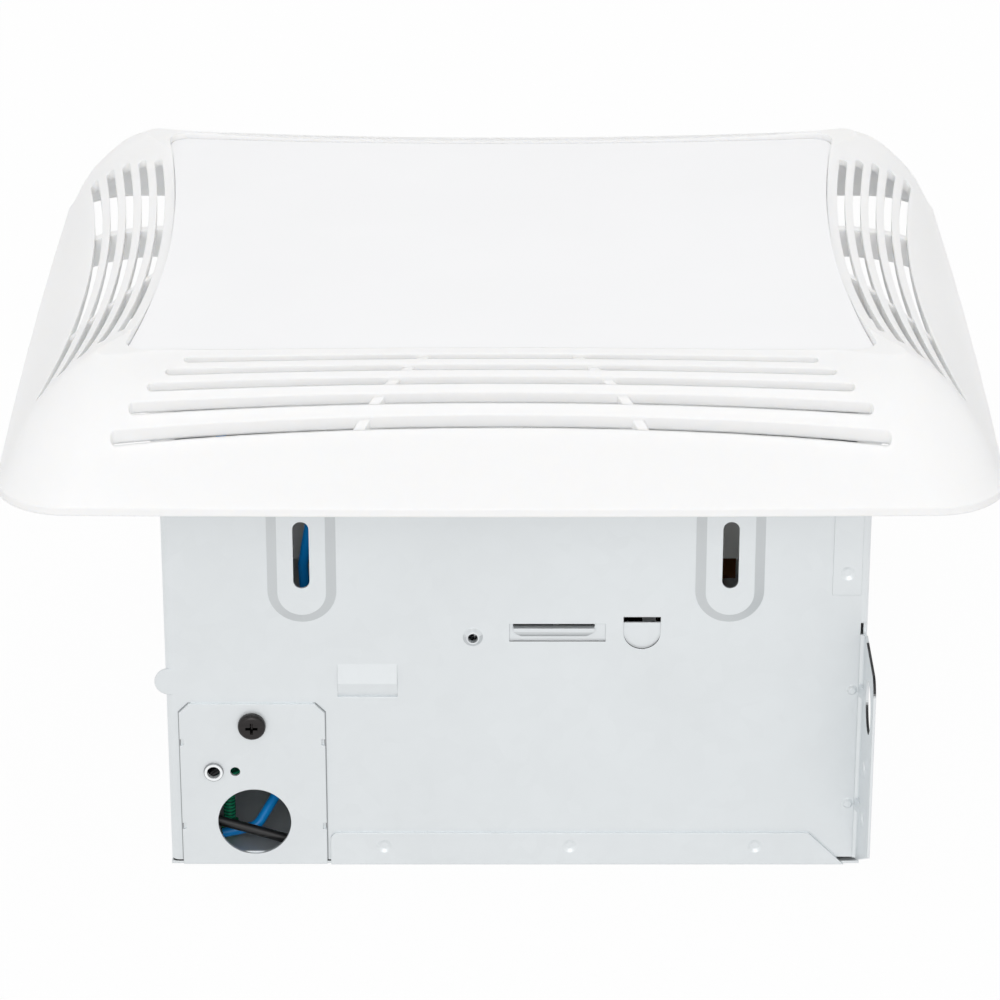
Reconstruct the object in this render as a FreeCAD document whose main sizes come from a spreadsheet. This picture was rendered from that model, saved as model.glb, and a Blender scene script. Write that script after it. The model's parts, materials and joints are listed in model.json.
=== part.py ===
import FreeCAD, Part
import math
import os
import re
import Sketcher

# Ceiling ventilation fan with a light, standing on the back of its steel housing.
# The origin is the middle of the back panel's outer face, +Z points out of the room side
# and -Y is the wall with the wiring plate.
# Lengths are millimetres, angles are degrees.

SIZES = [
    # Folded steel housing
    ("sheet", 0.8), ("housing_width", 210.0), ("housing_depth", 203.0), ("housing_height", 131.0),
    ("bend_radius", 2.4),
    # Mounting slots in their raised pads, on the front wall
    ("slot_pitch", 127.0), ("slot_half_width", 2.4), ("slot_half_run", 8.4), ("slot_height", 104.6),
    ("slot_pad_half_width", 11.0), ("slot_pad_face_half_width", 7.2), ("slot_pad_half_run", 12.3),
    ("slot_pad_rise", 1.6),
    # Pressed and lanced details of the front wall
    ("dimple_x", -12.8), ("dimple_height", 77.0), ("dimple_radius", 3.4), ("dimple_hole_radius", 1.5),
    ("dimple_rise", 1.1),
    ("louvre_left", -1.9), ("louvre_right", 26.8), ("louvre_low", 75.5), ("louvre_high", 81.3),
    ("louvre_bulge", 1.6), ("louvre_slit", 1.1), ("press_depth", 0.6),
    ("tongue_left", 32.1), ("tongue_right", 43.2), ("tongue_low", 73.0), ("tongue_slit_low", 81.5),
    ("tongue_slit_high", 83.6),
    ("step_left", -53.4), ("step_right", -35.5), ("step_low", 56.9), ("step_crease", 61.8),
    ("step_high", 68.0), ("step_rise", 1.1),
    ("lap_width", 11.0), ("lap_low", 91.0), ("lap_rise", 0.4),
    ("corner_gap", 2.2), ("corner_gap_height", 81.6), ("corner_gap_depth", 1.2),
    ("ear_radius", 4.2), ("ear_height", 62.0),
    ("ear_reach", 3.3),
    # Clinched buttons that join the sheets
    ("button_radius", 2.2), ("button_depth", 0.55), ("button_height", 6.3), ("button_pitch", 56.5),
    ("button_start", 65.0), ("lap_button_inset", 6.6), ("lap_button_height", 98.1),
    # Back panel
    ("flange_height", 10.8), ("flange_left_inset", 48.7), ("flange_right_inset", 4.8),
    ("flange_slant", 11.0), ("rear_flange_end", -10.0),
    # Joist tab bent forward at the front right corner
    ("tab_run", 32.5), ("tab_bend", 1.4), ("tab_top", 77.7), ("tab_foot", 2.0), ("tab_free_foot", 19.8),
    ("tab_round", 6.0), ("tab_hole_radius", 8.0), ("tab_hole_run", 18.0), ("tab_hole_height", 62.5),
    ("nail_radius", 2.2), ("nail_run", 13.0), ("nail_low", 22.4), ("nail_high", 39.6),
    ("gusset_low", 20.8), ("gusset_high", 59.3), ("gusset_radius", 1.9), ("gusset_rise", 0.9),
    ("foot_notch", 7.4), ("foot_notch_height", 2.2),
    # Wiring compartment in the front left corner
    ("plate_inset", 3.7), ("plate_width", 43.9), ("plate_top", 54.9), ("plate_foot", 0.3),
    ("plate_chamfer", 3.0), ("notch_size", 1.1), ("notch_low", 13.4), ("notch_high", 42.0),
    ("plate_thickness", 1.0), ("plate_lap", 4.2), ("plate_top_lap", 12.5),
    ("plate_screw_inset", 25.6), ("plate_screw_height", 47.8),
    ("knockout_radius", 11.1), ("knockout_inset", 25.7), ("knockout_height", 14.9),
    ("eyelet_inset", 13.7), ("eyelet_height", 32.1), ("eyelet_radius", 2.9), ("eyelet_hole_radius", 2.0),
    ("pilot_inset", 20.2), ("pilot_hole_radius", 1.5),
    ("box_width", 48.0), ("box_depth", 58.0), ("box_height", 56.0),
    ("receptacle_inset", 25.0), ("motor_receptacle_inset", 43.5), ("lamp_receptacle_inset", 19.5),
    ("receptacle_length", 24.0), ("receptacle_width", 14.0), ("receptacle_depth", 12.0),
    ("receptacle_flange", 1.6), ("receptacle_flange_lap", 1.8), ("plug_height", 15.0), ("plug_inset", 1.2),
    ("ground_inset_x", 16.5), ("ground_inset_y", 21.5), ("ground_length", 19.0),
    ("lead_radius", 1.5), ("lead_bend", 5.0), ("blue_turn", 33.0), ("black_turn", 34.0),
    ("terminal_offset", 9.0),
    # Fasteners
    ("screw_radius", 2.0), ("screw_head_radius", 4.2), ("screw_head_height", 2.4), ("screw_length", 7.0),
    ("hole_clearance", 0.3),
    # Blower
    ("scroll_margin", 1.7), ("fan_y", -10.0), ("plate_level", 52.0), ("orifice_radius", 44.0),
    ("orifice_lip", 3.5),
    ("wall_clearance", 0.7), ("volute_radius", 63.5), ("volute_step", 7.0), ("cutoff_angle", 72.0),
    ("cutoff_nose", 2.4),
    ("wheel_foot", 6.0), ("wheel_height", 40.0), ("wheel_radius", 57.0), ("wheel_bore_radius", 46.0),
    ("wheel_disc", 1.2), ("wheel_ring_height", 3.0), ("wheel_ring_width", 2.8), ("blade_count", 36),
    ("blade_thickness", 0.8), ("blade_curve", 9.5), ("blade_lean", 8.0), ("hub_radius", 9.0),
    ("hub_height", 15.0),
    # Motor
    ("shaft_radius", 3.17), ("shaft_foot", 8.0), ("shaft_top", 87.0), ("fit_gap", 0.05),
    ("press_gap", 0.02),
    ("strap_level", 58.0), ("strap_width", 24.0), ("strap_half_span", 58.0), ("strap_foot", 12.0),
    ("bearing_bracket", 3.2), ("bearing_bracket_width", 16.0), ("bearing_radius", 8.0),
    ("bearing_height", 7.0), ("stack_level", 66.0), ("stack_height", 14.0), ("stack_half", 27.0),
    ("stack_limb", 45.0), ("limb_width", 12.0), ("window_near", 18.0), ("window_half", 15.0),
    ("rotor_radius", 13.4), ("rotor_gap", 0.6), ("coil_wall", 7.0), ("coil_half", 12.5),
    ("bolt_offset", 20.0),
    # Duct connector and its damper, on the rear wall
    ("duct_margin", 2.0), ("duct_height", 54.5), ("duct_radius", 49.0), ("duct_wall", 1.8),
    ("duct_length", 37.0),
    ("duct_flange", 2.0), ("duct_flange_half", 53.0), ("outlet_margin", 1.5), ("outlet_low", 4.0),
    ("seat_offset", 2.5), ("seat_thickness", 2.0), ("seat_radius", 38.5), ("flap_radius", 41.0),
    ("flap_thickness", 1.5), ("flap_gap", 0.4), ("pin_drop", 31.0), ("pin_radius", 1.5),
    ("pin_stand_off", 2.0), ("lug_near", 31.2), ("lug_width", 2.7), ("lug_height", 6.5),
    ("lug_reach", 4.2), ("duct_screw_offset", 46.0),
    # Lamp pan, its brackets and lamps
    ("pan_floor", 90.0), ("pan_rim", 120.8), ("pan_gap_x", 14.2), ("pan_gap_y", 20.7),
    ("pan_flare_x", 10.0), ("pan_flare_y", 6.0), ("pan_lip", 3.0), ("pan_ear_x", 40.0),
    ("pan_ear_half", 8.0), ("pan_ear_reach", 11.0), ("pan_screw_reach", 6.5),
    ("bracket_half", 50.0), ("bracket_reach", 17.0), ("bracket_drop", 15.0),
    ("spring_slot_half", 15.6), ("spring_slot_half_width", 3.8), ("spring_inset", 4.8),
    ("lamp_board_inset", 22.0), ("lamp_board_half", 68.0), ("lamp_board_top", 150.0),
    ("lamp_board_foot", 10.0),
    ("lamp_y", 38.0), ("lamp_height", 124.0), ("globe_radius", 30.0), ("globe_length", 85.0),
    ("neck_radius", 13.0), ("neck_angle", 20.0), ("globe_wall", 1.0), ("cap_radius", 12.9),
    ("cap_length", 23.0), ("socket_radius", 17.0),
    ("socket_length", 28.0), ("socket_flange_radius", 20.5), ("socket_flange", 3.0),
    ("socket_floor", 3.0), ("socket_gap", 0.3),
    # Moulded cover
    ("cover_shift", -4.4), ("cover_gap", 0.3), ("cover_rise", 33.7), ("cover_wall", 2.4), ("rim_lip", 2.4),
    ("lens_half_x", 103.0), ("lens_half_y", 90.0), ("lens_corner_x", 7.5), ("lens_corner_y", 5.8),
    ("lens_corner_radius", 6.0), ("lens_thickness", 2.4), ("lens_gap", 0.12), ("lens_edge_round", 0.5),
    ("well_wall", 2.0), ("well_depth", 14.0), ("ledge_width", 3.0), ("ledge_height", 2.0),
    ("grille_slots", 5), ("grille_pitch", 5.1), ("grille_slot_width", 2.5), ("grille_rib", 2.4),
    ("web_drop", 1.0), ("web_depth", 9.0),
    ("grille_first", 4.7), ("front_bow", 975.0), ("front_run", 92.0), ("front_run_step", 5.0),
    ("front_rib", 23.5), ("front_rib_step", 4.25), ("side_bow", 600.0), ("side_run", 75.0),
    ("side_run_step", 4.3), ("side_rib", 21.5), ("side_rib_step", 5.0),
    ("post_radius", 3.6), ("hook_half", 7.0), ("hook_below", 18.0), ("hook_drop", 6.0),
    ("hook_radius", 3.0),
    # Torsion springs that hold the cover up
    ("spring_wire", 0.8), ("spring_coil", 5.0), ("spring_turns", 2), ("spring_turn_gap", 0.5),
    ("spring_tip_height", 58.0), ("spring_tip_spread", 14.0),
]

# Heights of the cover's outer skin against the lens plane, and how far it stands out there past the
# edge of the lens: in the middle of the short sides, of the long sides, at the corners, and the
# corner's rounding
SKIN = [
    (2.0, -14.0, -8.0, 21.0, 13.0, 4.0),
    (-1.0, -2.0, 8.0, 27.0, 19.5, 9.0),
    (-4.0, 6.5, 16.0, 31.5, 25.0, 13.0),
    (-8.0, 15.0, 21.3, 34.5, 29.5, 16.0),
    (-13.5, 25.0, 26.3, 37.0, 33.5, 18.0),
    (-22.0, 35.0, 34.5, 40.0, 38.5, 20.0),
    (-31.3, 44.5, 44.5, 43.0, 43.0, 22.0),
]

# Where the leads turn: how far in from the left wall and from the front wall, and how high
BLUE_ROUTE = [(32.3, 20.0, 15.0), (25.6, 12.5, 6.2), (15.0, 11.5, 4.2)]
BLACK_ROUTE = [(10.0, 11.5, 24.0), (10.0, 6.0, 13.0), (39.0, 6.0, 4.0), (43.0, 15.5, 3.2)]
LAMP_ROUTE = [(41.2, 15.0, 94.0), (44.2, 11.5, 112.0), (44.2, 11.5, 127.0), (17.0, 31.5, 127.0)]

# Places that follow from the sizes
PLACES = {
    "lens_plane": "housing_height + cover_gap + cover_rise",
    "plate_left": "plate_inset - housing_width/2",
    "plate_right": "plate_inset + plate_width - housing_width/2",
    "plate_screw_x": "plate_screw_inset - housing_width/2",
    "knockout_x": "knockout_inset - housing_width/2",
    "eyelet_x": "eyelet_inset - housing_width/2",
    "pilot_x": "pilot_inset - housing_width/2",
    "receptacle_x": "receptacle_inset - housing_width/2",
    "motor_receptacle_y": "motor_receptacle_inset - housing_depth/2",
    "lamp_receptacle_y": "lamp_receptacle_inset - housing_depth/2",
    "ground_x": "ground_inset_x - housing_width/2",
    "ground_y": "ground_inset_y - housing_depth/2",
    "fan_x": "housing_width/2 - sheet - scroll_margin - volute_radius - 3*volute_step",
    "duct_x": "housing_width/2 - duct_flange_half - duct_margin",
    "pan_half_x": "housing_width/2 - sheet - pan_gap_x - pan_flare_x",
    "pan_half_y": "housing_depth/2 - sheet - pan_gap_y - pan_flare_y",
    "lamp_board_x": "lamp_board_inset - pan_half_x",
    "hook_height": "lens_plane - hook_below",
}

NAMES = {name for name, number in SIZES}
WORD = re.compile(r"[A-Za-z_]+")
VEC = FreeCAD.Vector

doc = FreeCAD.newDocument("fan_with_light")
dim = doc.addObject("Spreadsheet::Sheet", "dim")
for row, (name, number) in enumerate(SIZES, start=1):
    dim.set("A%d" % row, name.replace("_", " "))
    dim.set("B%d" % row, str(number))
    dim.setAlias("B%d" % row, name)
doc.recompute()

# Places that many pieces share, as formulas of the sizes
FRONT = "(-housing_depth/2)"
REAR = "(housing_depth/2)"
INNER_X = "(housing_width/2 - sheet)"
INNER_Y = "(housing_depth/2 - sheet)"
BOX_RIGHT = "(-housing_width/2 + sheet + box_width)"
BOX_REAR = "(-housing_depth/2 + sheet + box_depth)"
BOX_TOP = "(sheet + box_height)"
OUTLET_LEFT = "(fan_x + volute_radius*cos(cutoff_angle))"
OUTLET_RIGHT = "(fan_x + volute_radius + 3*volute_step)"
DUCT_FACE = "(housing_depth/2 + duct_flange)"
SEAT_FACE = "(housing_depth/2 + duct_flange + seat_offset + seat_thickness)"
PIN_Y = "(housing_depth/2 + duct_flange + seat_offset + seat_thickness + pin_stand_off)"
PIN_Z = "(duct_height - pin_drop)"
LEAF_TOP = "(pan_rim - sheet)"

kept = []


def formula(text):
    """A formula with each size turned into a reference to the sheet and each place into its formula."""
    def spell(word):
        name = word.group()
        if name in PLACES:
            return "(%s)" % formula(PLACES[name])
        return "dim." + name if name in NAMES else name

    return WORD.sub(spell, str(text))


def value(text):
    """The number that a formula gives now."""
    return float(dim.evalExpression(formula(text)))


def keep(item, label):
    """Name a finished sub-part, which is then written under that name."""
    item.Label = label
    kept.append(item)
    return item


def bind(item, **sizes):
    for name, text in sizes.items():
        item.setExpression(name, formula(text))
    return item


def place(item, x, y, z):
    for axis, text in zip("xyz", (x, y, z)):
        item.setExpression("Placement.Base." + axis, formula(text))
    return item


TURNS = {
    "X": FreeCAD.Rotation(VEC(0, 1, 0), 90),
    "Y": FreeCAD.Rotation(VEC(1, 0, 0), -90),
    "Z": FreeCAD.Rotation(),
}


def block(name, corner, size):
    item = doc.addObject("Part::Box", name)
    bind(item, Length=size[0], Width=size[1], Height=size[2])
    return place(item, *corner)


def rod(name, foot, radius, length, along="Z"):
    item = doc.addObject("Part::Cylinder", name)
    item.Placement = FreeCAD.Placement(VEC(), TURNS[along])
    bind(item, Radius=radius, Height=length)
    return place(item, *foot)


def join(name, parts):
    item = doc.addObject("Part::MultiFuse", name)
    item.Shapes = parts
    return item


def carve(name, base, tools):
    item = doc.addObject("Part::Cut", name)
    item.Base = base
    item.Tool = tools[0] if len(tools) == 1 else join(name + "_tools", tools)
    return item


def group(name, parts):
    item = doc.addObject("Part::Compound", name)
    item.Links = parts
    return item


def body_named(name):
    return doc.addObject("PartDesign::Body", name)


def sketch_on(body, plane, offset="0"):
    sketch = body.newObject("Sketcher::SketchObject", body.Name + "_sketch")
    support = next(item for item in body.Origin.OriginFeatures if item.Role == plane)
    sketch.AttachmentSupport = [(support, "")]
    sketch.MapMode = "FlatFace"
    sketch.setExpression("AttachmentOffset.Base.z", formula(offset))
    return sketch


def fix(sketch, rows):
    """Add constraints, each with the formula that drives it or None."""
    indices = sketch.addConstraint([constraint for constraint, text in rows])
    for index, (constraint, text) in zip(indices, rows):
        if text is not None:
            sketch.setExpression("Constraints[%d]" % index, formula(text))


def outline(sketch, points):
    """A closed outline through points given as formulas.

    A point is (x, y), reached by a straight line, or (x, y, radius, turn), reached by an arc of that
    radius that turns left for +1 and right for -1.
    """
    first = sketch.GeometryCount
    count = len(points)
    spots = [VEC(value(point[0]), value(point[1]), 0) for point in points]
    ends = []
    rows = []
    for index in range(count):
        start = spots[index]
        target = points[(index + 1) % count]
        stop = spots[(index + 1) % count]
        if len(target) == 2:
            sketch.addGeometry(Part.LineSegment(start, stop), False)
            ends.append((1, 2))
            continue
        radius = value(target[2])
        turn = target[3]
        chord = stop - start
        left = VEC(-chord.y, chord.x, 0).normalize()
        height = math.sqrt(max(radius ** 2 - chord.Length ** 2 / 4, 0.0))
        centre = (start + stop) * 0.5 + left * (turn * height)
        low, high = (start, stop) if turn > 0 else (stop, start)
        angles = [math.atan2(spot.y - centre.y, spot.x - centre.x) for spot in (low, high)]
        circle = Part.Circle(centre, VEC(0, 0, 1), radius)
        sketch.addGeometry(Part.ArcOfCircle(circle, angles[0], angles[1]), False)
        ends.append((1, 2) if turn > 0 else (2, 1))
        rows.append((Sketcher.Constraint("Radius", first + index, radius), target[2]))
    for index in range(count):
        after = (index + 1) % count
        rows.append((Sketcher.Constraint("Coincident", first + index, ends[index][1],
                                         first + after, ends[after][0]), None))
        for kind, number, text in zip(("DistanceX", "DistanceY"), spots[index], points[index]):
            rows.append((Sketcher.Constraint(kind, -1, 1, first + index, ends[index][0], number), text))
    fix(sketch, rows)
    return sketch


def ring(sketch, x, y, radius):
    index = sketch.addGeometry(Part.Circle(VEC(value(x), value(y), 0), VEC(0, 0, 1), value(radius)), False)
    fix(sketch, [
        (Sketcher.Constraint("DistanceX", -1, 1, index, 3, value(x)), x),
        (Sketcher.Constraint("DistanceY", -1, 1, index, 3, value(y)), y),
        (Sketcher.Constraint("Radius", index, value(radius)), radius),
    ])
    return sketch


def oblong(sketch, x, y, half_width, half_run):
    """An upright slot with round ends."""
    left, right = "%s - %s" % (x, half_width), "%s + %s" % (x, half_width)
    low, high = "%s - %s" % (y, half_run), "%s + %s" % (y, half_run)
    return outline(sketch, [
        (left, high, half_width, 1), (left, low),
        (x, "%s - %s" % (low, half_width), half_width, 1), (right, low, half_width, 1),
        (right, high), (x, "%s + %s" % (high, half_width), half_width, 1),
    ])


def round_rectangle(sketch, half_x, half_y, radius):
    inner_x, inner_y = "(%s - %s)" % (half_x, radius), "(%s - %s)" % (half_y, radius)
    return outline(sketch, [
        (inner_x, "-" + half_y), (half_x, "-" + inner_y, radius, 1),
        (half_x, inner_y), (inner_x, half_y, radius, 1),
        ("-" + inner_x, half_y), ("-" + half_x, inner_y, radius, 1),
        ("-" + half_x, "-" + inner_y), ("-" + inner_x, "-" + half_y, radius, 1),
    ])


def rectangle(sketch, left, low, right, high):
    return outline(sketch, [(left, low), (right, low), (right, high), (left, high)])


def pad(body, sketch, length, backwards=False):
    item = body.newObject("PartDesign::Pad", body.Name + "_pad")
    item.Profile = sketch
    item.Reversed = backwards
    return bind(item, Length=length)


def pocket(body, sketch, length, backwards=False):
    item = body.newObject("PartDesign::Pocket", body.Name + "_pocket")
    item.Profile = sketch
    item.Reversed = backwards
    return bind(item, Length=length)


def loft(body, kind, near, far):
    item = body.newObject("PartDesign::%sLoft" % kind, body.Name + "_loft")
    item.Profile = near
    item.Sections = [far]
    item.Ruled = True
    return item


def revolve(body, sketch):
    item = body.newObject("PartDesign::Revolution", body.Name + "_turn")
    item.Profile = sketch
    item.ReferenceAxis = (sketch, ["V_Axis"])
    item.Angle = 360.0
    return item


def screw(name, seat, along, into, length="screw_length"):
    """A pan head screw seated at a point, its shank pointing along an axis in the direction into."""
    axis = "XYZ".index(along)
    head_foot, shank_foot = list(seat), list(seat)
    if into > 0:
        head_foot[axis] = "%s - screw_head_height" % seat[axis]
    else:
        shank_foot[axis] = "%s - (%s)" % (seat[axis], length)
    head = rod(name + "_head", head_foot, "screw_head_radius", "screw_head_height", along)
    shank = rod(name + "_shank", shank_foot, "screw_radius", length, along)
    return join(name, [head, shank])


# Steel housing

def clinch(body, x, height, face, inwards):
    """A round dent where two sheets are pressed together, sunk in a face that looks along Y."""
    near = sketch_on(body, "XZ_Plane", face)
    ring(near, x, height, "button_radius")
    far = sketch_on(body, "XZ_Plane", "%s + %d*button_depth" % (face, inwards))
    ring(far, x, height, "button_radius/2")
    loft(body, "Subtractive", near, far)


def housing_wrap():
    """Four walls of one folded strip, with the pressed and lanced details of the front wall."""
    body = body_named("housing_wrap")
    walls = sketch_on(body, "XY_Plane", "sheet")
    round_rectangle(walls, "housing_width/2", "housing_depth/2", "bend_radius")
    round_rectangle(walls, INNER_X, INNER_Y, "(bend_radius - sheet)")
    pad(body, walls, "housing_height - sheet")
    outer = "housing_depth/2"
    for x in ("-slot_pitch/2", "slot_pitch/2"):
        near = sketch_on(body, "XZ_Plane", outer + " - sheet/2")
        oblong(near, x, "slot_height", "slot_pad_half_width", "slot_pad_half_run")
        far = sketch_on(body, "XZ_Plane", outer + " + slot_pad_rise")
        oblong(far, x, "slot_height", "slot_pad_face_half_width", "slot_pad_half_run")
        loft(body, "Additive", near, far)
        near = sketch_on(body, "XZ_Plane", outer + " - sheet")
        oblong(near, x, "slot_height", "(slot_pad_half_width - sheet/2)", "slot_pad_half_run")
        far = sketch_on(body, "XZ_Plane", outer + " + slot_pad_rise - sheet")
        oblong(far, x, "slot_height", "(slot_pad_face_half_width - sheet/2)", "slot_pad_half_run")
        loft(body, "Subtractive", near, far)
        slot = sketch_on(body, "XZ_Plane", outer + " + 2*slot_pad_rise")
        oblong(slot, x, "slot_height", "slot_half_width", "slot_half_run")
        pocket(body, slot, "3*slot_pad_rise + sheet")
    near = sketch_on(body, "XZ_Plane", outer + " - sheet/2")
    ring(near, "dimple_x", "dimple_height", "dimple_radius")
    far = sketch_on(body, "XZ_Plane", outer + " + dimple_rise")
    ring(far, "dimple_x", "dimple_height", "dimple_hole_radius + sheet/2")
    loft(body, "Additive", near, far)
    hole = sketch_on(body, "XZ_Plane", outer + " + 2*dimple_rise")
    ring(hole, "dimple_x", "dimple_height", "dimple_hole_radius")
    pocket(body, hole, "2*dimple_rise + 2*sheet")
    for level in ("sheet", "0"):
        pressed = sketch_on(body, "XZ_Plane", "%s - %s" % (outer, level))
        rectangle(pressed, "louvre_left", "louvre_low", "louvre_right", "louvre_high")
        outline(pressed, [
            ("tongue_left", "tongue_slit_low"),
            ("tongue_left", "tongue_low + (tongue_right - tongue_left)/2"),
            ("(tongue_left + tongue_right)/2", "tongue_low", "(tongue_right - tongue_left)/2", 1),
            ("tongue_right", "tongue_low + (tongue_right - tongue_left)/2",
             "(tongue_right - tongue_left)/2", 1),
            ("tongue_right", "tongue_slit_low"),
        ])
        if level == "sheet":
            pad(body, pressed, "press_depth", backwards=True)
        else:
            pocket(body, pressed, "press_depth")
    through = sketch_on(body, "XZ_Plane", outer)
    rectangle(through, "louvre_left + louvre_slit", "louvre_high - louvre_slit",
              "louvre_right - 3*louvre_slit", "louvre_high")
    rectangle(through, "tongue_left", "tongue_slit_low", "tongue_right", "tongue_slit_high")
    rectangle(through, "plate_left + plate_lap", "plate_lap", "plate_right - plate_lap",
              "plate_top - plate_top_lap")
    ring(through, "plate_screw_x", "plate_screw_height", "screw_radius + hole_clearance")
    rectangle(through, "housing_width/2 - foot_notch", "0", "housing_width/2 + sheet", "foot_notch_height")
    pocket(body, through, "3*sheet")
    for height in ("gusset_low", "gusset_high"):
        x = "housing_width/2 - corner_gap - gusset_radius"
        near = sketch_on(body, "XZ_Plane", outer + " - sheet/2")
        ring(near, x, height, "gusset_radius")
        far = sketch_on(body, "XZ_Plane", outer + " + gusset_rise")
        ring(far, x, height, "gusset_radius/2")
        loft(body, "Additive", near, far)
    left, right = "(louvre_left + louvre_slit)", "(louvre_right - 3*louvre_slit)"
    low, high = "(louvre_high - 2*louvre_bulge - louvre_slit)", "(louvre_high - louvre_slit)"
    lip = sketch_on(body, "YZ_Plane", left)
    outline(lip, [
        (FRONT + " + press_depth + sheet/2", low), (FRONT + " + press_depth + sheet/2", high),
        (FRONT + " - louvre_bulge + press_depth", high),
        (FRONT + " + press_depth", low, "2.5*louvre_bulge", 1),
    ])
    pad(body, lip, "%s - %s" % (right, left))
    ends = sketch_on(body, "XZ_Plane", outer + " + 2*louvre_bulge")
    outline(ends, [
        (left + " - sheet", low + " - sheet"), (left + " + 2*louvre_bulge", low + " - sheet"),
        (left + " - sheet", high + " - sheet/2"),
    ])
    outline(ends, [
        (right + " + sheet", low + " - sheet"), (right + " + sheet", high + " - sheet/2"),
        (right + " - 2*louvre_bulge", low + " - sheet"),
    ])
    pocket(body, ends, "2*louvre_bulge + press_depth")
    crease = (FRONT + " - step_rise", "step_crease")
    sunk = (FRONT + " + 0.75*sheet", "step_low")
    clear = sketch_on(body, "YZ_Plane", "step_left")
    outline(clear, [
        (FRONT + " - 2*step_rise", "step_low"), sunk, crease, (FRONT + " - 2*step_rise", "step_crease"),
    ])
    pocket(body, clear, "step_right - step_left", backwards=True)
    step = sketch_on(body, "YZ_Plane", "step_left")
    outline(step, [
        sunk, (FRONT + " + 2*sheet", "step_low"), (FRONT + " + sheet", "step_high"),
        (FRONT, "step_high"), crease,
    ])
    pad(body, step, "step_right - step_left")
    lap = sketch_on(body, "XZ_Plane", outer)
    rectangle(lap, "housing_width/2 - lap_width", "lap_low", "housing_width/2 - bend_radius",
              "housing_height")
    pad(body, lap, "lap_rise")
    clinch(body, "housing_width/2 - lap_button_inset", "lap_button_height", outer + " + lap_rise", -1)
    ear = sketch_on(body, "XZ_Plane", outer)
    ring(ear, "-housing_width/2 + ear_radius - ear_reach", "ear_height", "ear_radius")
    pad(body, ear, "sheet", backwards=True)
    gap = sketch_on(body, "XY_Plane", "corner_gap_height")
    rectangle(gap, "housing_width/2 - corner_gap", FRONT + " - sheet", "housing_width/2 + sheet",
              FRONT + " + corner_gap_depth")
    pocket(body, gap, "corner_gap_height")
    outlet = sketch_on(body, "XZ_Plane", "-housing_depth/2")
    rectangle(outlet, OUTLET_LEFT + " + outlet_margin", "outlet_low", OUTLET_RIGHT + " - outlet_margin",
              "plate_level - outlet_margin")
    pocket(body, outlet, "2*sheet", backwards=True)
    keep(body, "housing_wrap")


def back_panel():
    """The flat back with its front and rear edges folded up and clinched over the walls."""
    body = body_named("back_panel")
    floor = sketch_on(body, "XY_Plane")
    rectangle(floor, "-housing_width/2", FRONT, "housing_width/2", REAR + " + sheet")
    pad(body, floor, "sheet")
    left = "-housing_width/2 + flange_left_inset"
    right = "housing_width/2 - flange_right_inset"
    flange = sketch_on(body, "XZ_Plane", "housing_depth/2")
    outline(flange, [
        (left, "0"), (right, "0"), (right + " - flange_slant", "flange_height"),
        (left + " + bend_radius", "flange_height"), (left, "flange_height - bend_radius", "bend_radius", 1),
    ])
    pad(body, flange, "sheet")
    rear = sketch_on(body, "XZ_Plane", "-housing_depth/2")
    rectangle(rear, "-housing_width/2 + flange_right_inset", "0", "rear_flange_end", "flange_height")
    pad(body, rear, "sheet", backwards=True)
    for count in range(3):
        clinch(body, "-housing_width/2 + button_start + %d*button_pitch" % count, "button_height",
               "housing_depth/2 + sheet", -1)
    clinch(body, "rear_flange_end - button_pitch/2", "button_height", "-housing_depth/2 - sheet", 1)
    keep(body, "back_panel")


def joist_tab():
    """The tab bent forward in line with the right wall, its lower edge slanting up, with its holes."""
    body = body_named("joist_tab")
    edge = "(housing_width/2 - corner_gap)"
    inner = "(housing_width/2 - corner_gap + tab_bend)"
    outer = "(housing_width/2 - corner_gap + tab_bend + sheet)"
    middle = "(housing_width/2 - corner_gap + tab_bend + sheet/2)"
    bend = FRONT + " - tab_bend"
    end = "(%s - tab_run)" % FRONT
    plan = sketch_on(body, "XY_Plane", "tab_foot")
    outline(plan, [
        (edge, FRONT + " + sheet", "(tab_bend + sheet)", 1), (edge, FRONT), (inner, bend, "tab_bend", -1),
        (inner, end), (outer, end), (outer, bend),
    ])
    pad(body, plan, "tab_top - tab_foot")
    trim = sketch_on(body, "YZ_Plane", edge)
    outline(trim, [
        (bend, "tab_foot - sheet"), (bend, "tab_foot"), (end, "tab_free_foot"),
        (end + " - sheet", "tab_free_foot"), (end + " - sheet", "tab_foot - sheet"),
    ])
    outline(trim, [
        (end + " - sheet", "tab_top + sheet"), (end + " - sheet", "tab_top - tab_round"),
        (end, "tab_top - tab_round"), (end + " + tab_round", "tab_top", "tab_round", -1),
        (end + " + tab_round", "tab_top + sheet"),
    ])
    ring(trim, FRONT + " - tab_hole_run", "tab_hole_height", "tab_hole_radius")
    for height in ("nail_low", "nail_high"):
        ring(trim, FRONT + " - nail_run", height, "nail_radius")
    pocket(body, trim, "2*corner_gap", backwards=True)
    for height in ("gusset_low", "gusset_high"):
        dart = sketch_on(body, "XY_Plane", height + " - gusset_radius")
        outline(dart, [
            (edge, FRONT + " + sheet/2", "(tab_bend + sheet/2)", 1), (edge, FRONT),
            (inner, FRONT + " - 2*gusset_radius"), (middle, FRONT + " - 2*gusset_radius"), (middle, bend),
        ])
        pad(body, dart, "2*gusset_radius")
    keep(body, "joist_tab")


# Wiring compartment

def notches(edge, inwards, heights):
    """Small square notches in an upright edge of the wiring plate, in the order that they are met."""
    points = []
    for height in heights:
        near, far = "%s + %d*notch_size" % (height, inwards), "%s - %d*notch_size" % (height, inwards)
        inner = "%s + %d*notch_size" % (edge, inwards)
        points += [(edge, near), (inner, near), (inner, far), (edge, far)]
    return points


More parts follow.
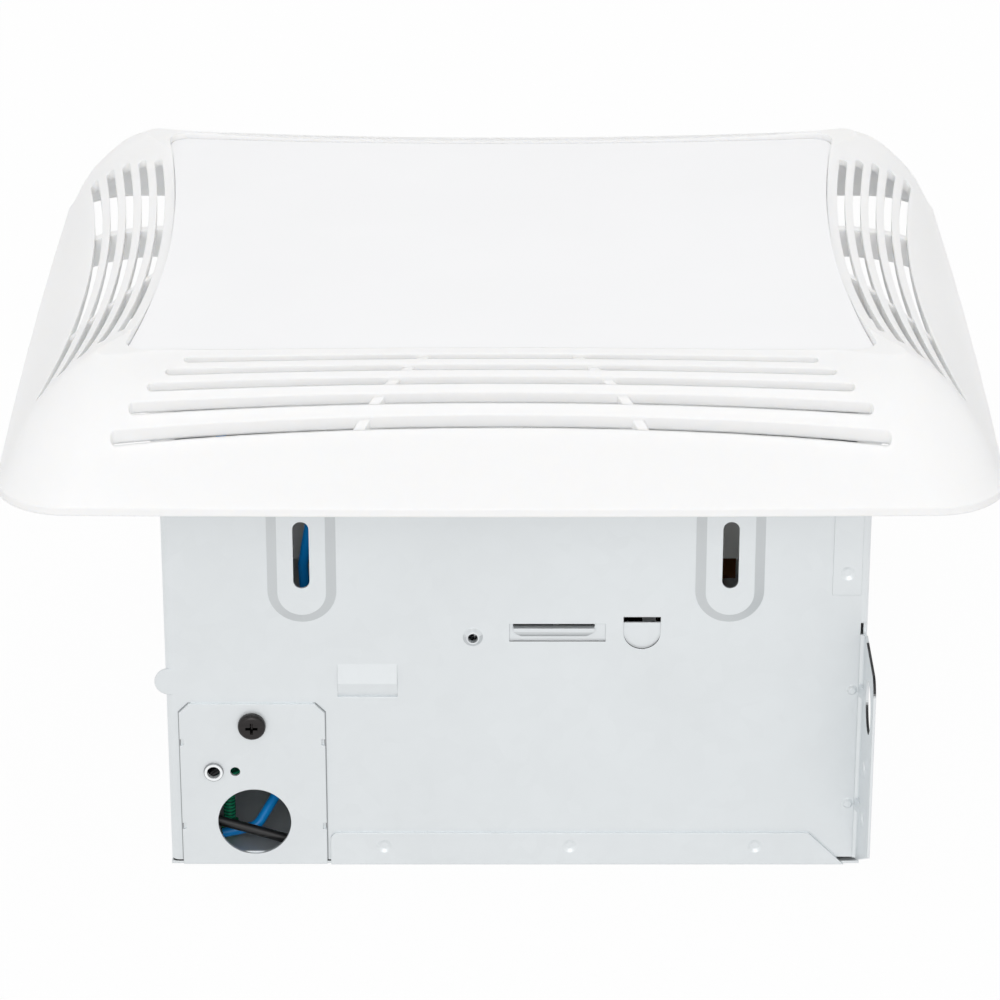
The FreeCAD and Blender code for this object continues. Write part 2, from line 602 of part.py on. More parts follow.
def wiring_cover():
    """The plate over the wiring compartment, with its knockout hole, eyelet and pilot hole."""
    body = body_named("wiring_cover")
    plate = sketch_on(body, "XZ_Plane", "housing_depth/2")
    outline(plate, [
        ("plate_left", "plate_foot"), ("plate_right", "plate_foot"),
    ] + notches("plate_right", -1, ("notch_low", "notch_high")) + [
        ("plate_right", "plate_top - plate_chamfer"), ("plate_right - plate_chamfer", "plate_top"),
        ("plate_left + plate_chamfer", "plate_top"), ("plate_left", "plate_top - plate_chamfer"),
    ] + notches("plate_left", 1, ("notch_high", "notch_low")))
    ring(plate, "knockout_x", "knockout_height", "knockout_radius")
    ring(plate, "eyelet_x", "eyelet_height", "eyelet_hole_radius")
    ring(plate, "pilot_x", "eyelet_height", "pilot_hole_radius")
    ring(plate, "plate_screw_x", "plate_screw_height", "screw_radius + hole_clearance")
    pad(body, plate, "plate_thickness")
    eyelet = sketch_on(body, "XZ_Plane", "housing_depth/2")
    ring(eyelet, "eyelet_x", "eyelet_height", "eyelet_radius")
    ring(eyelet, "eyelet_x", "eyelet_height", "eyelet_hole_radius")
    pad(body, eyelet, "1.8*plate_thickness")
    keep(body, "wiring_cover")
    seat = ["plate_screw_x", FRONT + " - plate_thickness", "plate_screw_height"]
    keep(screw("wiring_cover_screw", seat, "Y", 1), "wiring_cover_screw")


def receptacle(label, y):
    """A socket moulding set in the top of the wiring box, and the window that it needs there."""
    x_low = "receptacle_x - receptacle_length/2"
    y_low = "%s - receptacle_width/2" % y
    shell = block(label + "_shell", (x_low, y_low, BOX_TOP + " - receptacle_depth"),
                  ("receptacle_length", "receptacle_width", "receptacle_depth + receptacle_flange"))
    flange = block(label + "_flange",
                   (x_low + " - receptacle_flange_lap", y_low + " - receptacle_flange_lap", BOX_TOP),
                   ("receptacle_length + 2*receptacle_flange_lap",
                    "receptacle_width + 2*receptacle_flange_lap", "receptacle_flange"))
    keep(join(label, [shell, flange]), label)
    return block(label + "_window", (x_low + " - hole_clearance", y_low + " - hole_clearance",
                                     BOX_TOP + " - 2*sheet"),
                 ("receptacle_length + 2*hole_clearance", "receptacle_width + 2*hole_clearance", "3*sheet"))


def plug(label, y):
    """A plug pushed down on its receptacle, with a stepped grip."""
    z = BOX_TOP + " + receptacle_flange"
    base = block(label + "_base", ("receptacle_x - receptacle_length/2 + plug_inset",
                                   "%s - receptacle_width/2 + plug_inset" % y, z),
                 ("receptacle_length - 2*plug_inset", "receptacle_width - 2*plug_inset", "plug_height"))
    grip = block(label + "_grip", ("receptacle_x - receptacle_length/2", "%s - receptacle_width/2" % y,
                                   z + " + plug_height/3"),
                 ("receptacle_length", "receptacle_width", "plug_height/4"))
    keep(join(label, [base, grip]), label)


def wiring_box():
    """The folded guard that walls off the wiring corner, and what is set in it."""
    left, front = "-(%s - wall_clearance)" % INNER_X, "-(%s - wall_clearance)" % INNER_Y
    width, depth = "box_width - wall_clearance", "box_depth - wall_clearance"
    top = block("wiring_box_top", (left, front, BOX_TOP + " - sheet"), (width, depth, "sheet"))
    right = block("wiring_box_right", (BOX_RIGHT + " - sheet", front, "sheet"),
                  ("sheet", depth, "box_height"))
    rear = block("wiring_box_rear", (left, BOX_REAR + " - sheet", "sheet"),
                 (width, "sheet", "box_height"))
    windows = [receptacle("motor_receptacle", "motor_receptacle_y"),
               receptacle("lamp_receptacle", "lamp_receptacle_y")]
    keep(carve("wiring_box", join("wiring_box_walls", [top, right, rear]), windows), "wiring_box")
    plug("motor_plug", "motor_receptacle_y")
    plug("lamp_plug", "lamp_receptacle_y")
    shank = rod("ground_shank", ("ground_x", "ground_y", "sheet"), "screw_radius", "ground_length")
    head = rod("ground_head", ("ground_x", "ground_y", "sheet + ground_length"), "screw_head_radius",
               "screw_head_height")
    collar = rod("ground_collar", ("ground_x", "ground_y", "sheet"), "1.5*screw_radius",
                 "screw_head_height")
    keep(join("ground_screw", [shank, head, collar]), "ground_screw")


# Duct connector and damper

def duct_connector():
    """A flanged collar with a stop ring inside, and two lugs on the ring that carry the damper."""
    x, z = "duct_x", "duct_height"
    flange = block("duct_flange_plate", (x + " - duct_flange_half", REAR, z + " - duct_flange_half"),
                   ("2*duct_flange_half", "duct_flange", "2*duct_flange_half"))
    collar = rod("duct_collar", (x, REAR, z), "duct_radius", "duct_flange + duct_length", "Y")
    bore = rod("duct_bore", (x, REAR + " - sheet", z), "duct_radius - duct_wall",
               "duct_flange + duct_length + 2*sheet", "Y")
    holes = [bore]
    screws = []
    for number, (side, up) in enumerate(((-1, -1), (1, -1), (-1, 1), (1, 1))):
        spot = ["%s + %d*duct_screw_offset" % (x, side), DUCT_FACE, "%s + %d*duct_screw_offset" % (z, up)]
        holes.append(rod("duct_screw_hole", (spot[0], REAR + " - sheet", spot[2]),
                         "screw_radius + hole_clearance", "2*duct_flange + sheet", "Y"))
        screws.append(screw("duct_screw_%d" % number, spot, "Y", -1, "duct_flange"))
    shell = carve("duct_shell", join("duct_blank", [flange, collar]), holes)
    seat = carve("duct_seat", rod("duct_seat_disc", (x, DUCT_FACE + " + seat_offset", z),
                                  "duct_radius - duct_wall/2", "seat_thickness", "Y"),
                 [rod("duct_seat_bore", (x, DUCT_FACE, z), "seat_radius", "duct_length", "Y")])
    lugs = []
    for side in ("duct_x - lug_near - lug_width", "duct_x + lug_near"):
        lugs.append(block("duct_lug", (side, SEAT_FACE, PIN_Z + " - lug_height/2"),
                          ("lug_width", "lug_reach", "lug_height")))
    pin_hole = rod("duct_pin_hole", ("duct_x - lug_near - lug_width", PIN_Y, PIN_Z), "pin_radius + fit_gap",
                   "2*lug_near + 2*lug_width", "X")
    keep(carve("duct_connector", join("duct_whole", [shell, seat] + lugs), [pin_hole]), "duct_connector")
    keep(group("duct_screws", screws), "duct_screws")


def damper_flap():
    """The round flap, cut straight along its hinge pin."""
    disc = rod("flap_disc", ("duct_x", SEAT_FACE + " + flap_gap", "duct_height"), "flap_radius",
               "flap_thickness", "Y")
    below = block("flap_cut", ("duct_x - flap_radius", SEAT_FACE, "duct_height - 2*flap_radius"),
                  ("2*flap_radius", "4*flap_thickness", "2*flap_radius - pin_drop"))
    pin = rod("flap_pin", ("duct_x - lug_near - lug_width", PIN_Y, PIN_Z), "pin_radius",
              "2*lug_near + 2*lug_width", "X")
    keep(join("damper_flap", [carve("flap_plate", disc, [below]), pin]), "damper_flap")


# Blower

def blower_plate():
    """The plate that closes the blower chamber, notched round the wiring box, with a lipped inlet."""
    body = body_named("blower_plate")
    right, rear = "(%s - wall_clearance)" % INNER_X, "(%s - wall_clearance)" % INNER_Y
    notch_x, notch_y = "(%s + wall_clearance)" % BOX_RIGHT, "(%s + wall_clearance)" % BOX_REAR
    plate = sketch_on(body, "XY_Plane", "plate_level")
    outline(plate, [
        (notch_x, "-" + rear), (right, "-" + rear), (right, rear), ("-" + right, rear),
        ("-" + right, notch_y), (notch_x, notch_y),
    ])
    ring(plate, "fan_x", "fan_y", "orifice_radius")
    pad(body, plate, "sheet")
    lip = sketch_on(body, "XY_Plane", "plate_level + sheet")
    ring(lip, "fan_x", "fan_y", "orifice_radius + sheet")
    ring(lip, "fan_x", "fan_y", "orifice_radius")
    pad(body, lip, "orifice_lip + sheet", backwards=True)
    keep(body, "blower_plate")


def scroll():
    """The volute: three arcs that step outwards, a straight run to the outlet and a cut-off wall."""
    body = body_named("scroll")
    level = "sheet"
    end = "(%s - wall_clearance)" % INNER_Y
    radii = ["(volute_radius + %d*volute_step)" % count for count in range(3)]
    centre_x = "(fan_x + volute_step)"
    last_y = "(fan_y + volute_step)"

    def along(offset):
        start = ("fan_x + (volute_radius + %s)*cos(cutoff_angle)" % offset,
                 "fan_y + (volute_radius + %s)*sin(cutoff_angle)" % offset)
        left = ("fan_x - volute_radius - %s" % offset, "fan_y", radii[0] + " + " + offset)
        low = (centre_x, "fan_y - volute_radius - volute_step - %s" % offset, radii[1] + " + " + offset)
        right = (centre_x + " + %s + %s" % (radii[2], offset), last_y, radii[2] + " + " + offset)
        return start, left, low, right

    inner, outer = along("0"), along("sheet")
    strip = sketch_on(body, "XY_Plane", level)
    points = [inner[0]]
    points += [(x, y, radius, 1) for x, y, radius in inner[1:]]
    points += [(inner[3][0], end), (outer[3][0], end), outer[3][:2]]
    points += [outer[2][:2] + (outer[3][2], -1), outer[1][:2] + (outer[2][2], -1)]
    points += [outer[0] + (outer[1][2], -1)]
    outline(strip, points)
    pad(body, strip, "plate_level - sheet")
    tongue = sketch_on(body, "XY_Plane", level)
    rectangle(tongue, OUTLET_LEFT + " - sheet/2", "fan_y + volute_radius*sin(cutoff_angle)",
              OUTLET_LEFT + " + sheet/2", end)
    pad(body, tongue, "plate_level - sheet")
    nose = sketch_on(body, "XY_Plane", level)
    ring(nose, OUTLET_LEFT, "fan_y + volute_radius*sin(cutoff_angle) + cutoff_nose/2", "cutoff_nose")
    pad(body, nose, "plate_level - sheet")
    keep(body, "scroll")


def blower_wheel():
    """The squirrel-cage wheel: hub and disc, a ring of curved blades and the band round their tips."""
    body = body_named("blower_wheel")
    half = sketch_on(body, "XZ_Plane")
    bore = "shaft_radius + press_gap"
    outline(half, [
        (bore, "0"), ("wheel_radius", "0"), ("wheel_radius", "wheel_disc"), ("hub_radius", "wheel_disc"),
        ("hub_radius", "hub_height"), (bore, "hub_height"),
    ])
    revolve(body, half)
    blade = sketch_on(body, "XY_Plane")
    tip = "(blade_lean + blade_thickness/wheel_radius*180/pi)"
    outline(blade, [
        ("wheel_bore_radius", "0"),
        ("wheel_radius*cos(blade_lean)", "wheel_radius*sin(blade_lean)", "blade_curve", 1),
        ("wheel_radius*cos%s" % tip, "wheel_radius*sin%s" % tip),
        ("wheel_bore_radius", "blade_thickness", "blade_curve - blade_thickness", -1),
    ])
    first = pad(body, blade, "wheel_height")
    doc.recompute()
    pattern = body.newObject("PartDesign::PolarPattern", "blade_ring")
    pattern.Originals = [first]
    axis = next(item for item in body.Origin.OriginFeatures if item.Role == "Z_Axis")
    pattern.Axis = (axis, [""])
    pattern.Angle = 360.0
    bind(pattern, Occurrences="blade_count")
    body.Tip = pattern
    band = sketch_on(body, "XY_Plane", "wheel_height - wheel_ring_height")
    ring(band, "0", "0", "wheel_radius + blade_thickness")
    ring(band, "0", "0", "wheel_radius - wheel_ring_width")
    pad(body, band, "wheel_ring_height")
    place(body, "fan_x", "fan_y", "wheel_foot")
    keep(body, "blower_wheel")


# Motor

def bearing_bracket(label, level, boss_level):
    """A die-cast strap across the stack with the bearing boss in its middle."""
    strap = block(label + "_strap", ("fan_x - bolt_offset - bearing_bracket_width/2",
                                     "fan_y - bolt_offset - bearing_bracket_width/2", level),
                  ("bearing_bracket_width", "2*bolt_offset + bearing_bracket_width", "bearing_bracket"))
    arm = block(label + "_arm", ("fan_x - bolt_offset", "fan_y - bearing_bracket_width/2", level),
                ("bolt_offset + bearing_radius", "bearing_bracket_width", "bearing_bracket"))
    boss = rod(label + "_boss", ("fan_x", "fan_y", boss_level), "bearing_radius", "bearing_height")
    bore = rod(label + "_bore", ("fan_x", "fan_y", "plate_level"), "shaft_radius + fit_gap", "shaft_top")
    tools = [bore] + bolt_holes(label, "plate_level", "shaft_top")
    keep(carve(label, join(label + "_blank", [strap, arm, boss]), tools), label)


def bolt_holes(label, foot, length):
    return [rod(label + "_bolt_hole", ("fan_x - bolt_offset", "fan_y + %d*bolt_offset" % side, foot),
                "screw_radius + hole_clearance", length) for side in (-1, 1)]


def motor():
    """A shaded-pole motor that hangs over the inlet on a strap."""
    feet = []
    for side, x in ((-1, "fan_x - strap_half_span"), (1, "fan_x + strap_half_span - strap_foot")):
        leg_x = "fan_x - strap_half_span + strap_foot - sheet" if side < 0 else x
        y = "fan_y - strap_width/2"
        feet.append(block("strap_foot_plate", (x, y, "plate_level + sheet"),
                          ("strap_foot", "strap_width", "sheet")))
        feet.append(block("strap_leg", (leg_x, y, "plate_level + sheet"),
                          ("sheet", "strap_width", "strap_level - plate_level - sheet")))
    bridge = block("strap_bridge", ("fan_x - strap_half_span + strap_foot - sheet", "fan_y - strap_width/2",
                                    "strap_level"),
                   ("2*(strap_half_span - strap_foot + sheet)", "strap_width", "sheet"))
    wings = block("strap_wings", ("fan_x - bolt_offset - bearing_bracket_width/2",
                                  "fan_y - bolt_offset - bearing_bracket_width/2", "strap_level"),
                  ("bearing_bracket_width", "2*bolt_offset + bearing_bracket_width", "sheet"))
    opening = rod("strap_opening", ("fan_x", "fan_y", "plate_level"), "bearing_radius + hole_clearance",
                  "shaft_top")
    keep(carve("motor_strap", join("strap_blank", feet + [bridge, wings]),
               [opening] + bolt_holes("strap", "plate_level", "shaft_top")), "motor_strap")
    bearing_bracket("lower_bearing_bracket", "stack_level - bearing_bracket",
                    "stack_level - bearing_height - hole_clearance")
    bearing_bracket("upper_bearing_bracket", "stack_level + stack_height", "stack_level + stack_height")
    stack = block("stack_block", ("fan_x - stack_half", "fan_y - stack_half", "stack_level"),
                  ("stack_half + stack_limb", "2*stack_half", "stack_height"))
    rotor_bore = rod("stack_bore", ("fan_x", "fan_y", "plate_level"), "rotor_radius + rotor_gap",
                     "shaft_top")
    window = block("stack_window", ("fan_x + window_near", "fan_y - window_half", "plate_level"),
                   ("stack_limb - limb_width - window_near", "2*window_half", "shaft_top"))
    waists = [block("stack_waist", ("fan_x + stack_limb - limb_width", y, "plate_level"),
                    ("2*limb_width", "stack_half - window_half", "shaft_top"))
              for y in ("fan_y + window_half + limb_width/2", "fan_y - window_half - limb_width/2"
                        " - stack_half + window_half")]
    keep(carve("motor_stack", stack, [rotor_bore, window] + waists + bolt_holes("stack", "plate_level",
                                                                               "shaft_top")), "motor_stack")
    limb = "fan_x + stack_limb - limb_width"
    winding = block("coil_block", (limb + " - coil_wall", "fan_y - coil_half", "stack_level - coil_wall"),
                    ("limb_width + 2*coil_wall", "2*coil_half", "stack_height + 2*coil_wall"))
    core = block("coil_core",
                 (limb + " - hole_clearance", "fan_y - 2*coil_half", "stack_level - hole_clearance"),
                 ("limb_width + 2*hole_clearance", "4*coil_half", "stack_height + 2*hole_clearance"))
    keep(carve("motor_coil", winding, [core]), "motor_coil")
    bolts = []
    for number, side in enumerate((-1, 1)):
        seat = ["fan_x - bolt_offset", "fan_y + %d*bolt_offset" % side,
                "stack_level + stack_height + bearing_bracket"]
        bolts.append(screw("motor_bolt_%d" % number, seat, "Z", -1,
                           "stack_level + stack_height + bearing_bracket - strap_level"))
    keep(group("motor_bolts", bolts), "motor_bolts")
    keep(rod("motor_shaft", ("fan_x", "fan_y", "shaft_foot"), "shaft_radius", "shaft_top - shaft_foot"),
         "motor_shaft")
    core = rod("rotor_core", ("fan_x", "fan_y", "stack_level + rotor_gap/2"), "rotor_radius",
               "stack_height - rotor_gap")
    hole = rod("rotor_hole", ("fan_x", "fan_y", "plate_level"), "shaft_radius + press_gap", "shaft_top")
    keep(carve("motor_rotor", core, [hole]), "motor_rotor")


# Lamp

def lamp_pan():
    """The folded reflector tray, with a lip and four ears that rest on the brackets."""
    body = body_named("lamp_pan")
    layers = (("Additive", "0", "pan_floor"), ("Subtractive", "sheet", "pan_floor + sheet"))
    for kind, inset, foot in layers:
        low = sketch_on(body, "XY_Plane", foot)
        x, y = "(pan_half_x - %s)" % inset, "(pan_half_y - %s)" % inset
        rectangle(low, "-" + x, "-" + y, x, y)
        high = sketch_on(body, "XY_Plane", "pan_rim")
        x, y = "(pan_half_x + pan_flare_x - %s)" % inset, "(pan_half_y + pan_flare_y - %s)" % inset
        rectangle(high, "-" + x, "-" + y, x, y)
        loft(body, kind, low, high)
    x, y = "(pan_half_x + pan_flare_x)", "(pan_half_y + pan_flare_y)"
    lip = sketch_on(body, "XY_Plane", "pan_rim")
    rectangle(lip, "-%s - pan_lip" % x, "-%s - pan_lip" % y, x + " + pan_lip", y + " + pan_lip")
    rectangle(lip, "-%s + sheet" % x, "-%s + sheet" % y, x + " - sheet", y + " - sheet")
    pad(body, lip, "sheet", backwards=True)
    for x in ("-pan_ear_x", "pan_ear_x"):
        for side in (-1, 1):
            ear = sketch_on(body, "XY_Plane", "pan_rim")
            edges = sorted((side, side * 2), key=abs)
            near, far = "%d*%s" % (side, y), "%d*(%s + pan_lip + pan_ear_reach)" % (side, y)
            low, high = (near, far) if edges[0] > 0 else (far, near)
            rectangle(ear, x + " - pan_ear_half", low, x + " + pan_ear_half", high)
            ring(ear, x, "%d*(%s + pan_lip + pan_screw_reach)" % (side, y), "screw_radius + hole_clearance")
            pad(body, ear, "sheet", backwards=True)
    keep(body, "lamp_pan")


def pan_brackets():
    """The angles on the front and rear walls that carry the lamp pan and hold the cover's springs."""
    screws = []
    for label, side in (("front", -1), ("rear", 1)):
        wall = "%d*%s" % (side, INNER_Y)
        low = wall if side < 0 else wall + " - bracket_reach"
        leaf = block("leaf", ("-bracket_half", low, LEAF_TOP + " - sheet"),
                     ("2*bracket_half", "bracket_reach", "sheet"))
        low = wall if side < 0 else wall + " - sheet"
        apron = block("apron", ("-bracket_half", low, LEAF_TOP + " - bracket_drop"),
                      ("2*bracket_half", "sheet", "bracket_drop"))
        slot = block("spring_slot", ("-spring_slot_half",
                                     "%d*(%s - spring_inset) - spring_slot_half_width" % (side, INNER_Y),
                                     LEAF_TOP + " - 3*sheet"),
                     ("2*spring_slot_half", "2*spring_slot_half_width", "6*sheet"))
        tools = [slot]
        for x in ("-pan_ear_x", "pan_ear_x"):
            spot = [x, "%d*(pan_half_y + pan_flare_y + pan_lip + pan_screw_reach)" % side, "pan_rim"]
            tools.append(rod("ear_hole", (x, spot[1], LEAF_TOP + " - bracket_drop/2"),
                             "screw_radius + hole_clearance", "bracket_drop"))
            screws.append(screw("pan_screw", spot, "Z", -1))
        name = "pan_bracket_" + label
        keep(carve(name, join(name + "_blank", [leaf, apron]), tools), name)
    keep(group("pan_screws", screws), "pan_screws")


def lamps():
    """Two lampholders on an upright board in the pan, each with its lamp."""
    board = block("board_plate", ("lamp_board_x", "-lamp_board_half", "pan_floor + sheet"),
                  ("sheet", "2*lamp_board_half", "lamp_board_top - pan_floor - sheet"))
    foot = block("board_foot", ("lamp_board_x", "-lamp_board_half", "pan_floor + sheet"),
                 ("lamp_board_foot", "2*lamp_board_half", "sheet"))
    holes = []
    back = "lamp_board_x + sheet + socket_flange - socket_length"
    for label, side in (("front", -1), ("rear", 1)):
        y = "%d*lamp_y" % side
        holes.append(rod("board_hole", ("lamp_board_x - sheet", y, "lamp_height"),
                         "socket_radius + socket_gap", "4*sheet", "X"))
        shell = rod("socket_shell", (back, y, "lamp_height"), "socket_radius", "socket_length", "X")
        flange = rod("socket_flange_ring", ("lamp_board_x + sheet", y, "lamp_height"),
                     "socket_flange_radius", "socket_flange", "X")
        cavity = rod("socket_cavity", (back + " + socket_floor", y, "lamp_height"),
                     "cap_radius + socket_gap", "socket_length", "X")
        name = "lamp_socket_" + label
        keep(carve(name, join(name + "_blank", [shell, flange]), [cavity]), name)
        cap_foot = back + " + socket_floor + socket_gap"
        name = "lamp_cap_" + label
        keep(rod(name, (cap_foot, y, "lamp_height"), "cap_radius", "cap_length", "X"), name)
        body = body_named("lamp_globe_" + label)
        half = sketch_on(body, "XZ_Plane")
        middle = "globe_length - globe_radius"
        hollow = "(globe_radius - globe_wall)"
        outline(half, [
            ("neck_radius - globe_wall", "0"), ("neck_radius", "0"),
            ("neck_radius + globe_wall", "globe_length/10"),
            ("globe_radius*cos(neck_angle)", middle + " - globe_radius*sin(neck_angle)"),
            ("globe_radius", middle, "globe_radius", 1), ("0", "globe_length", "globe_radius", 1),
            ("0", "globe_length - globe_wall"), (hollow, middle, hollow, -1),
            (hollow + "*cos(neck_angle)", "%s - %s*sin(neck_angle)" % (middle, hollow), hollow, -1),
            ("neck_radius", "globe_length/10"),
        ])
        revolve(body, half)
        body.Placement = FreeCAD.Placement(VEC(), TURNS["X"])
        place(body, cap_foot + " + cap_length", y, "lamp_height")
        keep(body, "lamp_globe_" + label)
    keep(carve("lamp_board", join("board_blank", [board, foot]), holes), "lamp_board")


# Leads that the housing holds all the way

def rounded_path(points, bend):
    """Straight runs through the points, joined by tangent arcs."""
    edges = []
    start = points[0]
    for before, corner, after in zip(points, points[1:], points[2:]):
        back = (before - corner).normalize()
        ahead = (after - corner).normalize()
        half_angle = back.getAngle(ahead) / 2
        reach = bend / math.tan(half_angle)
        enter, leave = corner + back * reach, corner + ahead * reach
        middle = (back + ahead).normalize()
        top = corner + middle * (bend / math.sin(half_angle) - bend)
        edges.append(Part.LineSegment(start, enter).toShape())
        edges.append(Part.Arc(enter, top, leave).toShape())
        start = leave
    edges.append(Part.LineSegment(start, points[-1]).toShape())
    return Part.Wire(edges)


def tube(path, radius):
    start = path.OrderedEdges[0]
    direction = start.tangentAt(start.FirstParameter)
    section = Part.Wire(Part.makeCircle(radius, start.valueAt(start.FirstParameter), direction))
    return path.makePipeShell([section], True, False)


def lead(label, points, bend):
    item = doc.addObject("Part::Feature", label)
    spots = [VEC(value(x), value(y), value(z)) for x, y, z in points]
    item.Shape = tube(rounded_path(spots, value(bend)), value("lead_radius"))
    keep(item, label)


def route(turns):
    """The turns of a lead, given as insets, as formulas of places."""
    return [("%s - housing_width/2" % x, "%s - housing_depth/2" % y, z) for x, y, z in turns]


def leads():
    """The supply leads in the wiring corner, and the leads from the plugs to the motor and the lamps."""
    under = BOX_TOP + " - receptacle_depth - hole_clearance"
    x, y = "receptacle_x + receptacle_length/6", "motor_receptacle_y"
    lead("supply_lead_blue", [(x, y, under), (x, y, "blue_turn")] + route(BLUE_ROUTE), "lead_bend")
    x, y = "receptacle_x + receptacle_length/3", "lamp_receptacle_y"
    lead("supply_lead_black", [(x, y, under), (x, y, "black_turn")] + route(BLACK_ROUTE), "lead_bend")
    level = BOX_TOP + " + receptacle_flange + plug_height*3/4"
    limb = "fan_x + stack_limb - limb_width/2"
    coil_end = "stack_level + stack_height + coil_wall/2"
    lead("motor_lead", [
        ("receptacle_x + receptacle_length/2 - plug_inset + hole_clearance", "motor_receptacle_y", level),
        ("fan_x", "motor_receptacle_y", level), (limb, "motor_receptacle_y + lead_bend", coil_end),
        (limb, "fan_y - coil_half - hole_clearance", coil_end),
    ], "lead_bend")
    back = "lamp_board_x + sheet + socket_flange - socket_length"
    tail = back + " - hole_clearance"
    lead("lamp_lead", [
        ("receptacle_x + receptacle_length/2 - plug_inset + hole_clearance", "lamp_receptacle_y", level),
        ("receptacle_x + receptacle_length/2 + lead_bend", "lamp_receptacle_y", level),
    ] + route(LAMP_ROUTE) + [
        (tail + " - 2*lead_bend", "-lamp_y - terminal_offset/2", "lamp_height"),
        (tail, "-lamp_y - terminal_offset/2", "lamp_height"),
    ], "lead_bend")
    lead("lamp_jumper", [
        (tail, "-lamp_y + terminal_offset", "lamp_height"),
        (back + " - 2*lead_bend", "-lamp_y + terminal_offset", "lamp_height"),
        (back + " - 2*lead_bend", "lamp_y - terminal_offset", "lamp_height"),
        (tail, "lamp_y - terminal_offset", "lamp_height"),
    ], "lead_bend")


# Moulded cover and lens

def bowed_outline(side, end, corner_x, corner_y, radius, height):
    """A closed outline of four bowed sides with rounded corners, about the cover's middle.

    side and end are the half sizes in the middle of the sides, corner_x and corner_y is where the two
    bows would cross.
    """
    def bow(half, corner, reach):
        sag = corner - half
        if abs(sag) < 1e-6:
            sag = 1e-6
        curve = (reach ** 2 + sag ** 2) / (2 * sag)
        return half + curve, curve + radius

    centre_x, far_x = bow(side, corner_x, corner_y)
    centre_y, far_y = bow(end, corner_y, corner_x)
    gap = math.hypot(centre_x, centre_y)
    share = (far_x ** 2 - far_y ** 2 + gap ** 2) / (2 * gap)
    lift = math.sqrt(far_x ** 2 - share ** 2)
    along = VEC(-centre_x, centre_y, 0) / gap
    across = VEC(-along.y, along.x, 0)
    base = VEC(centre_x, 0, 0) + along * share
    target = VEC(corner_x, corner_y, 0)
    middle = min((base + across * lift, base - across * lift), key=lambda spot: (spot - target).Length)

    def touch(spot):
        way = (spot - middle).normalize()
        return middle + way * radius if (spot - middle).dot(target) > 0 else middle - way * radius

    near_side, near_end = touch(VEC(centre_x, 0, 0)), touch(VEC(0, centre_y, 0))
    tip = middle + ((near_side - middle) + (near_end - middle)).normalize() * radius
    shift = VEC(value("cover_shift"), 0, height)

    def spot(point, sign_x, sign_y):
        return VEC(point.x * sign_x, point.y * sign_y, 0) + shift

    right, top = VEC(side, 0, 0), VEC(0, end, 0)
    arcs = [
        Part.Arc(spot(near_side, 1, -1), spot(right, 1, 1), spot(near_side, 1, 1)),
        Part.Arc(spot(near_side, 1, 1), spot(tip, 1, 1), spot(near_end, 1, 1)),
        Part.Arc(spot(near_end, 1, 1), spot(top, 1, 1), spot(near_end, -1, 1)),
        Part.Arc(spot(near_end, -1, 1), spot(tip, -1, 1), spot(near_side, -1, 1)),
        Part.Arc(spot(near_side, -1, 1), spot(right, -1, 1), spot(near_side, -1, -1)),
        Part.Arc(spot(near_side, -1, -1), spot(tip, -1, -1), spot(near_end, -1, -1)),
        Part.Arc(spot(near_end, -1, -1), spot(top, 1, -1), spot(near_end, 1, -1)),
        Part.Arc(spot(near_end, 1, -1), spot(tip, 1, -1), spot(near_side, 1, -1)),
    ]
    return Part.Wire([arc.toShape() for arc in arcs])


def lens_outline(grow, height):
    return bowed_outline(value("lens_half_x") + grow, value("lens_half_y") + grow,
                         value("lens_half_x + lens_corner_x") + grow,
                         value("lens_half_y + lens_corner_y") + grow,
                         value("lens_corner_radius") + max(grow, 0.0), height)


def prism(wire, height):
    return Part.Face(wire).extrude(VEC(0, 0, height))


def skin_loft(inset):
    """The cover's outer form, or its hollow when inset by the wall, down to the rim."""
    plane = value("lens_plane")
    wires = []
    for level, side, end, corner_x, corner_y, radius in SKIN:
        wires.append(bowed_outline(value("lens_half_x") + side - inset, value("lens_half_y") + end - inset,
                                   value("lens_half_x") + corner_x - inset,
                                   value("lens_half_y") + corner_y - inset,
                                   max(radius - inset, 1.0), plane + level - inset))
    body = Part.makeLoft(wires, True, False)
    rim = wires[-1]
    lip = prism(rim, -(value("rim_lip") + inset))
    return body.fuse(lip)


def grille_point(kind, row, along, off=0.0):
    """A point of a slot row's bow on the front or the right side, off its middle line towards the lens."""
    half = value("lens_half_y" if kind == "front" else "lens_half_x")
    bow = value(kind + "_bow")
    radius = bow - row * value("grille_pitch")
    angle = math.asin(along / radius)
    reach = radius + off
    return VEC(reach * math.sin(angle), reach * math.cos(angle) - half - value("grille_first") - bow, 0)


def upright(points, turn):
    """A tall prism on a closed outline of arcs and lines, turned to its side of the cover."""
    foot = VEC(value("cover_shift"), 0, value("housing_height") - value("cover_rise"))
    edges = []
    for part in points:
        curve = Part.Arc(*part) if len(part) == 3 else Part.LineSegment(*part)
        edges.append(curve.toShape())
    shape = prism(Part.Wire(edges), 3 * value("cover_rise"))
    shape.rotate(VEC(), VEC(0, 0, 1), 90 * turn)
    shape.translate(foot)
    return shape


def grille_slots():
    """Cutters for the air slots: rows that bow along each side, with round ends."""
    cutters = []
    half_slot = value("grille_slot_width") / 2
    for turn in range(4):
        kind = "front" if turn % 2 == 0 else "side"
        for row in range(int(value("grille_slots"))):
            run = value("%s_run + %d*%s_run_step" % (kind, row, kind)) - half_slot
            inner = [grille_point(kind, row, along, half_slot) for along in (-run, 0, run)]
            outer = [grille_point(kind, row, along, -half_slot) for along in (run, 0, -run)]
            tips = [grille_point(kind, row, along) for along in (run + half_slot, -run - half_slot)]
            cutters.append(upright([inner, (inner[2], tips[0], outer[0]), outer,
                                    (outer[2], tips[1], inner[0])], turn))
    return cutters


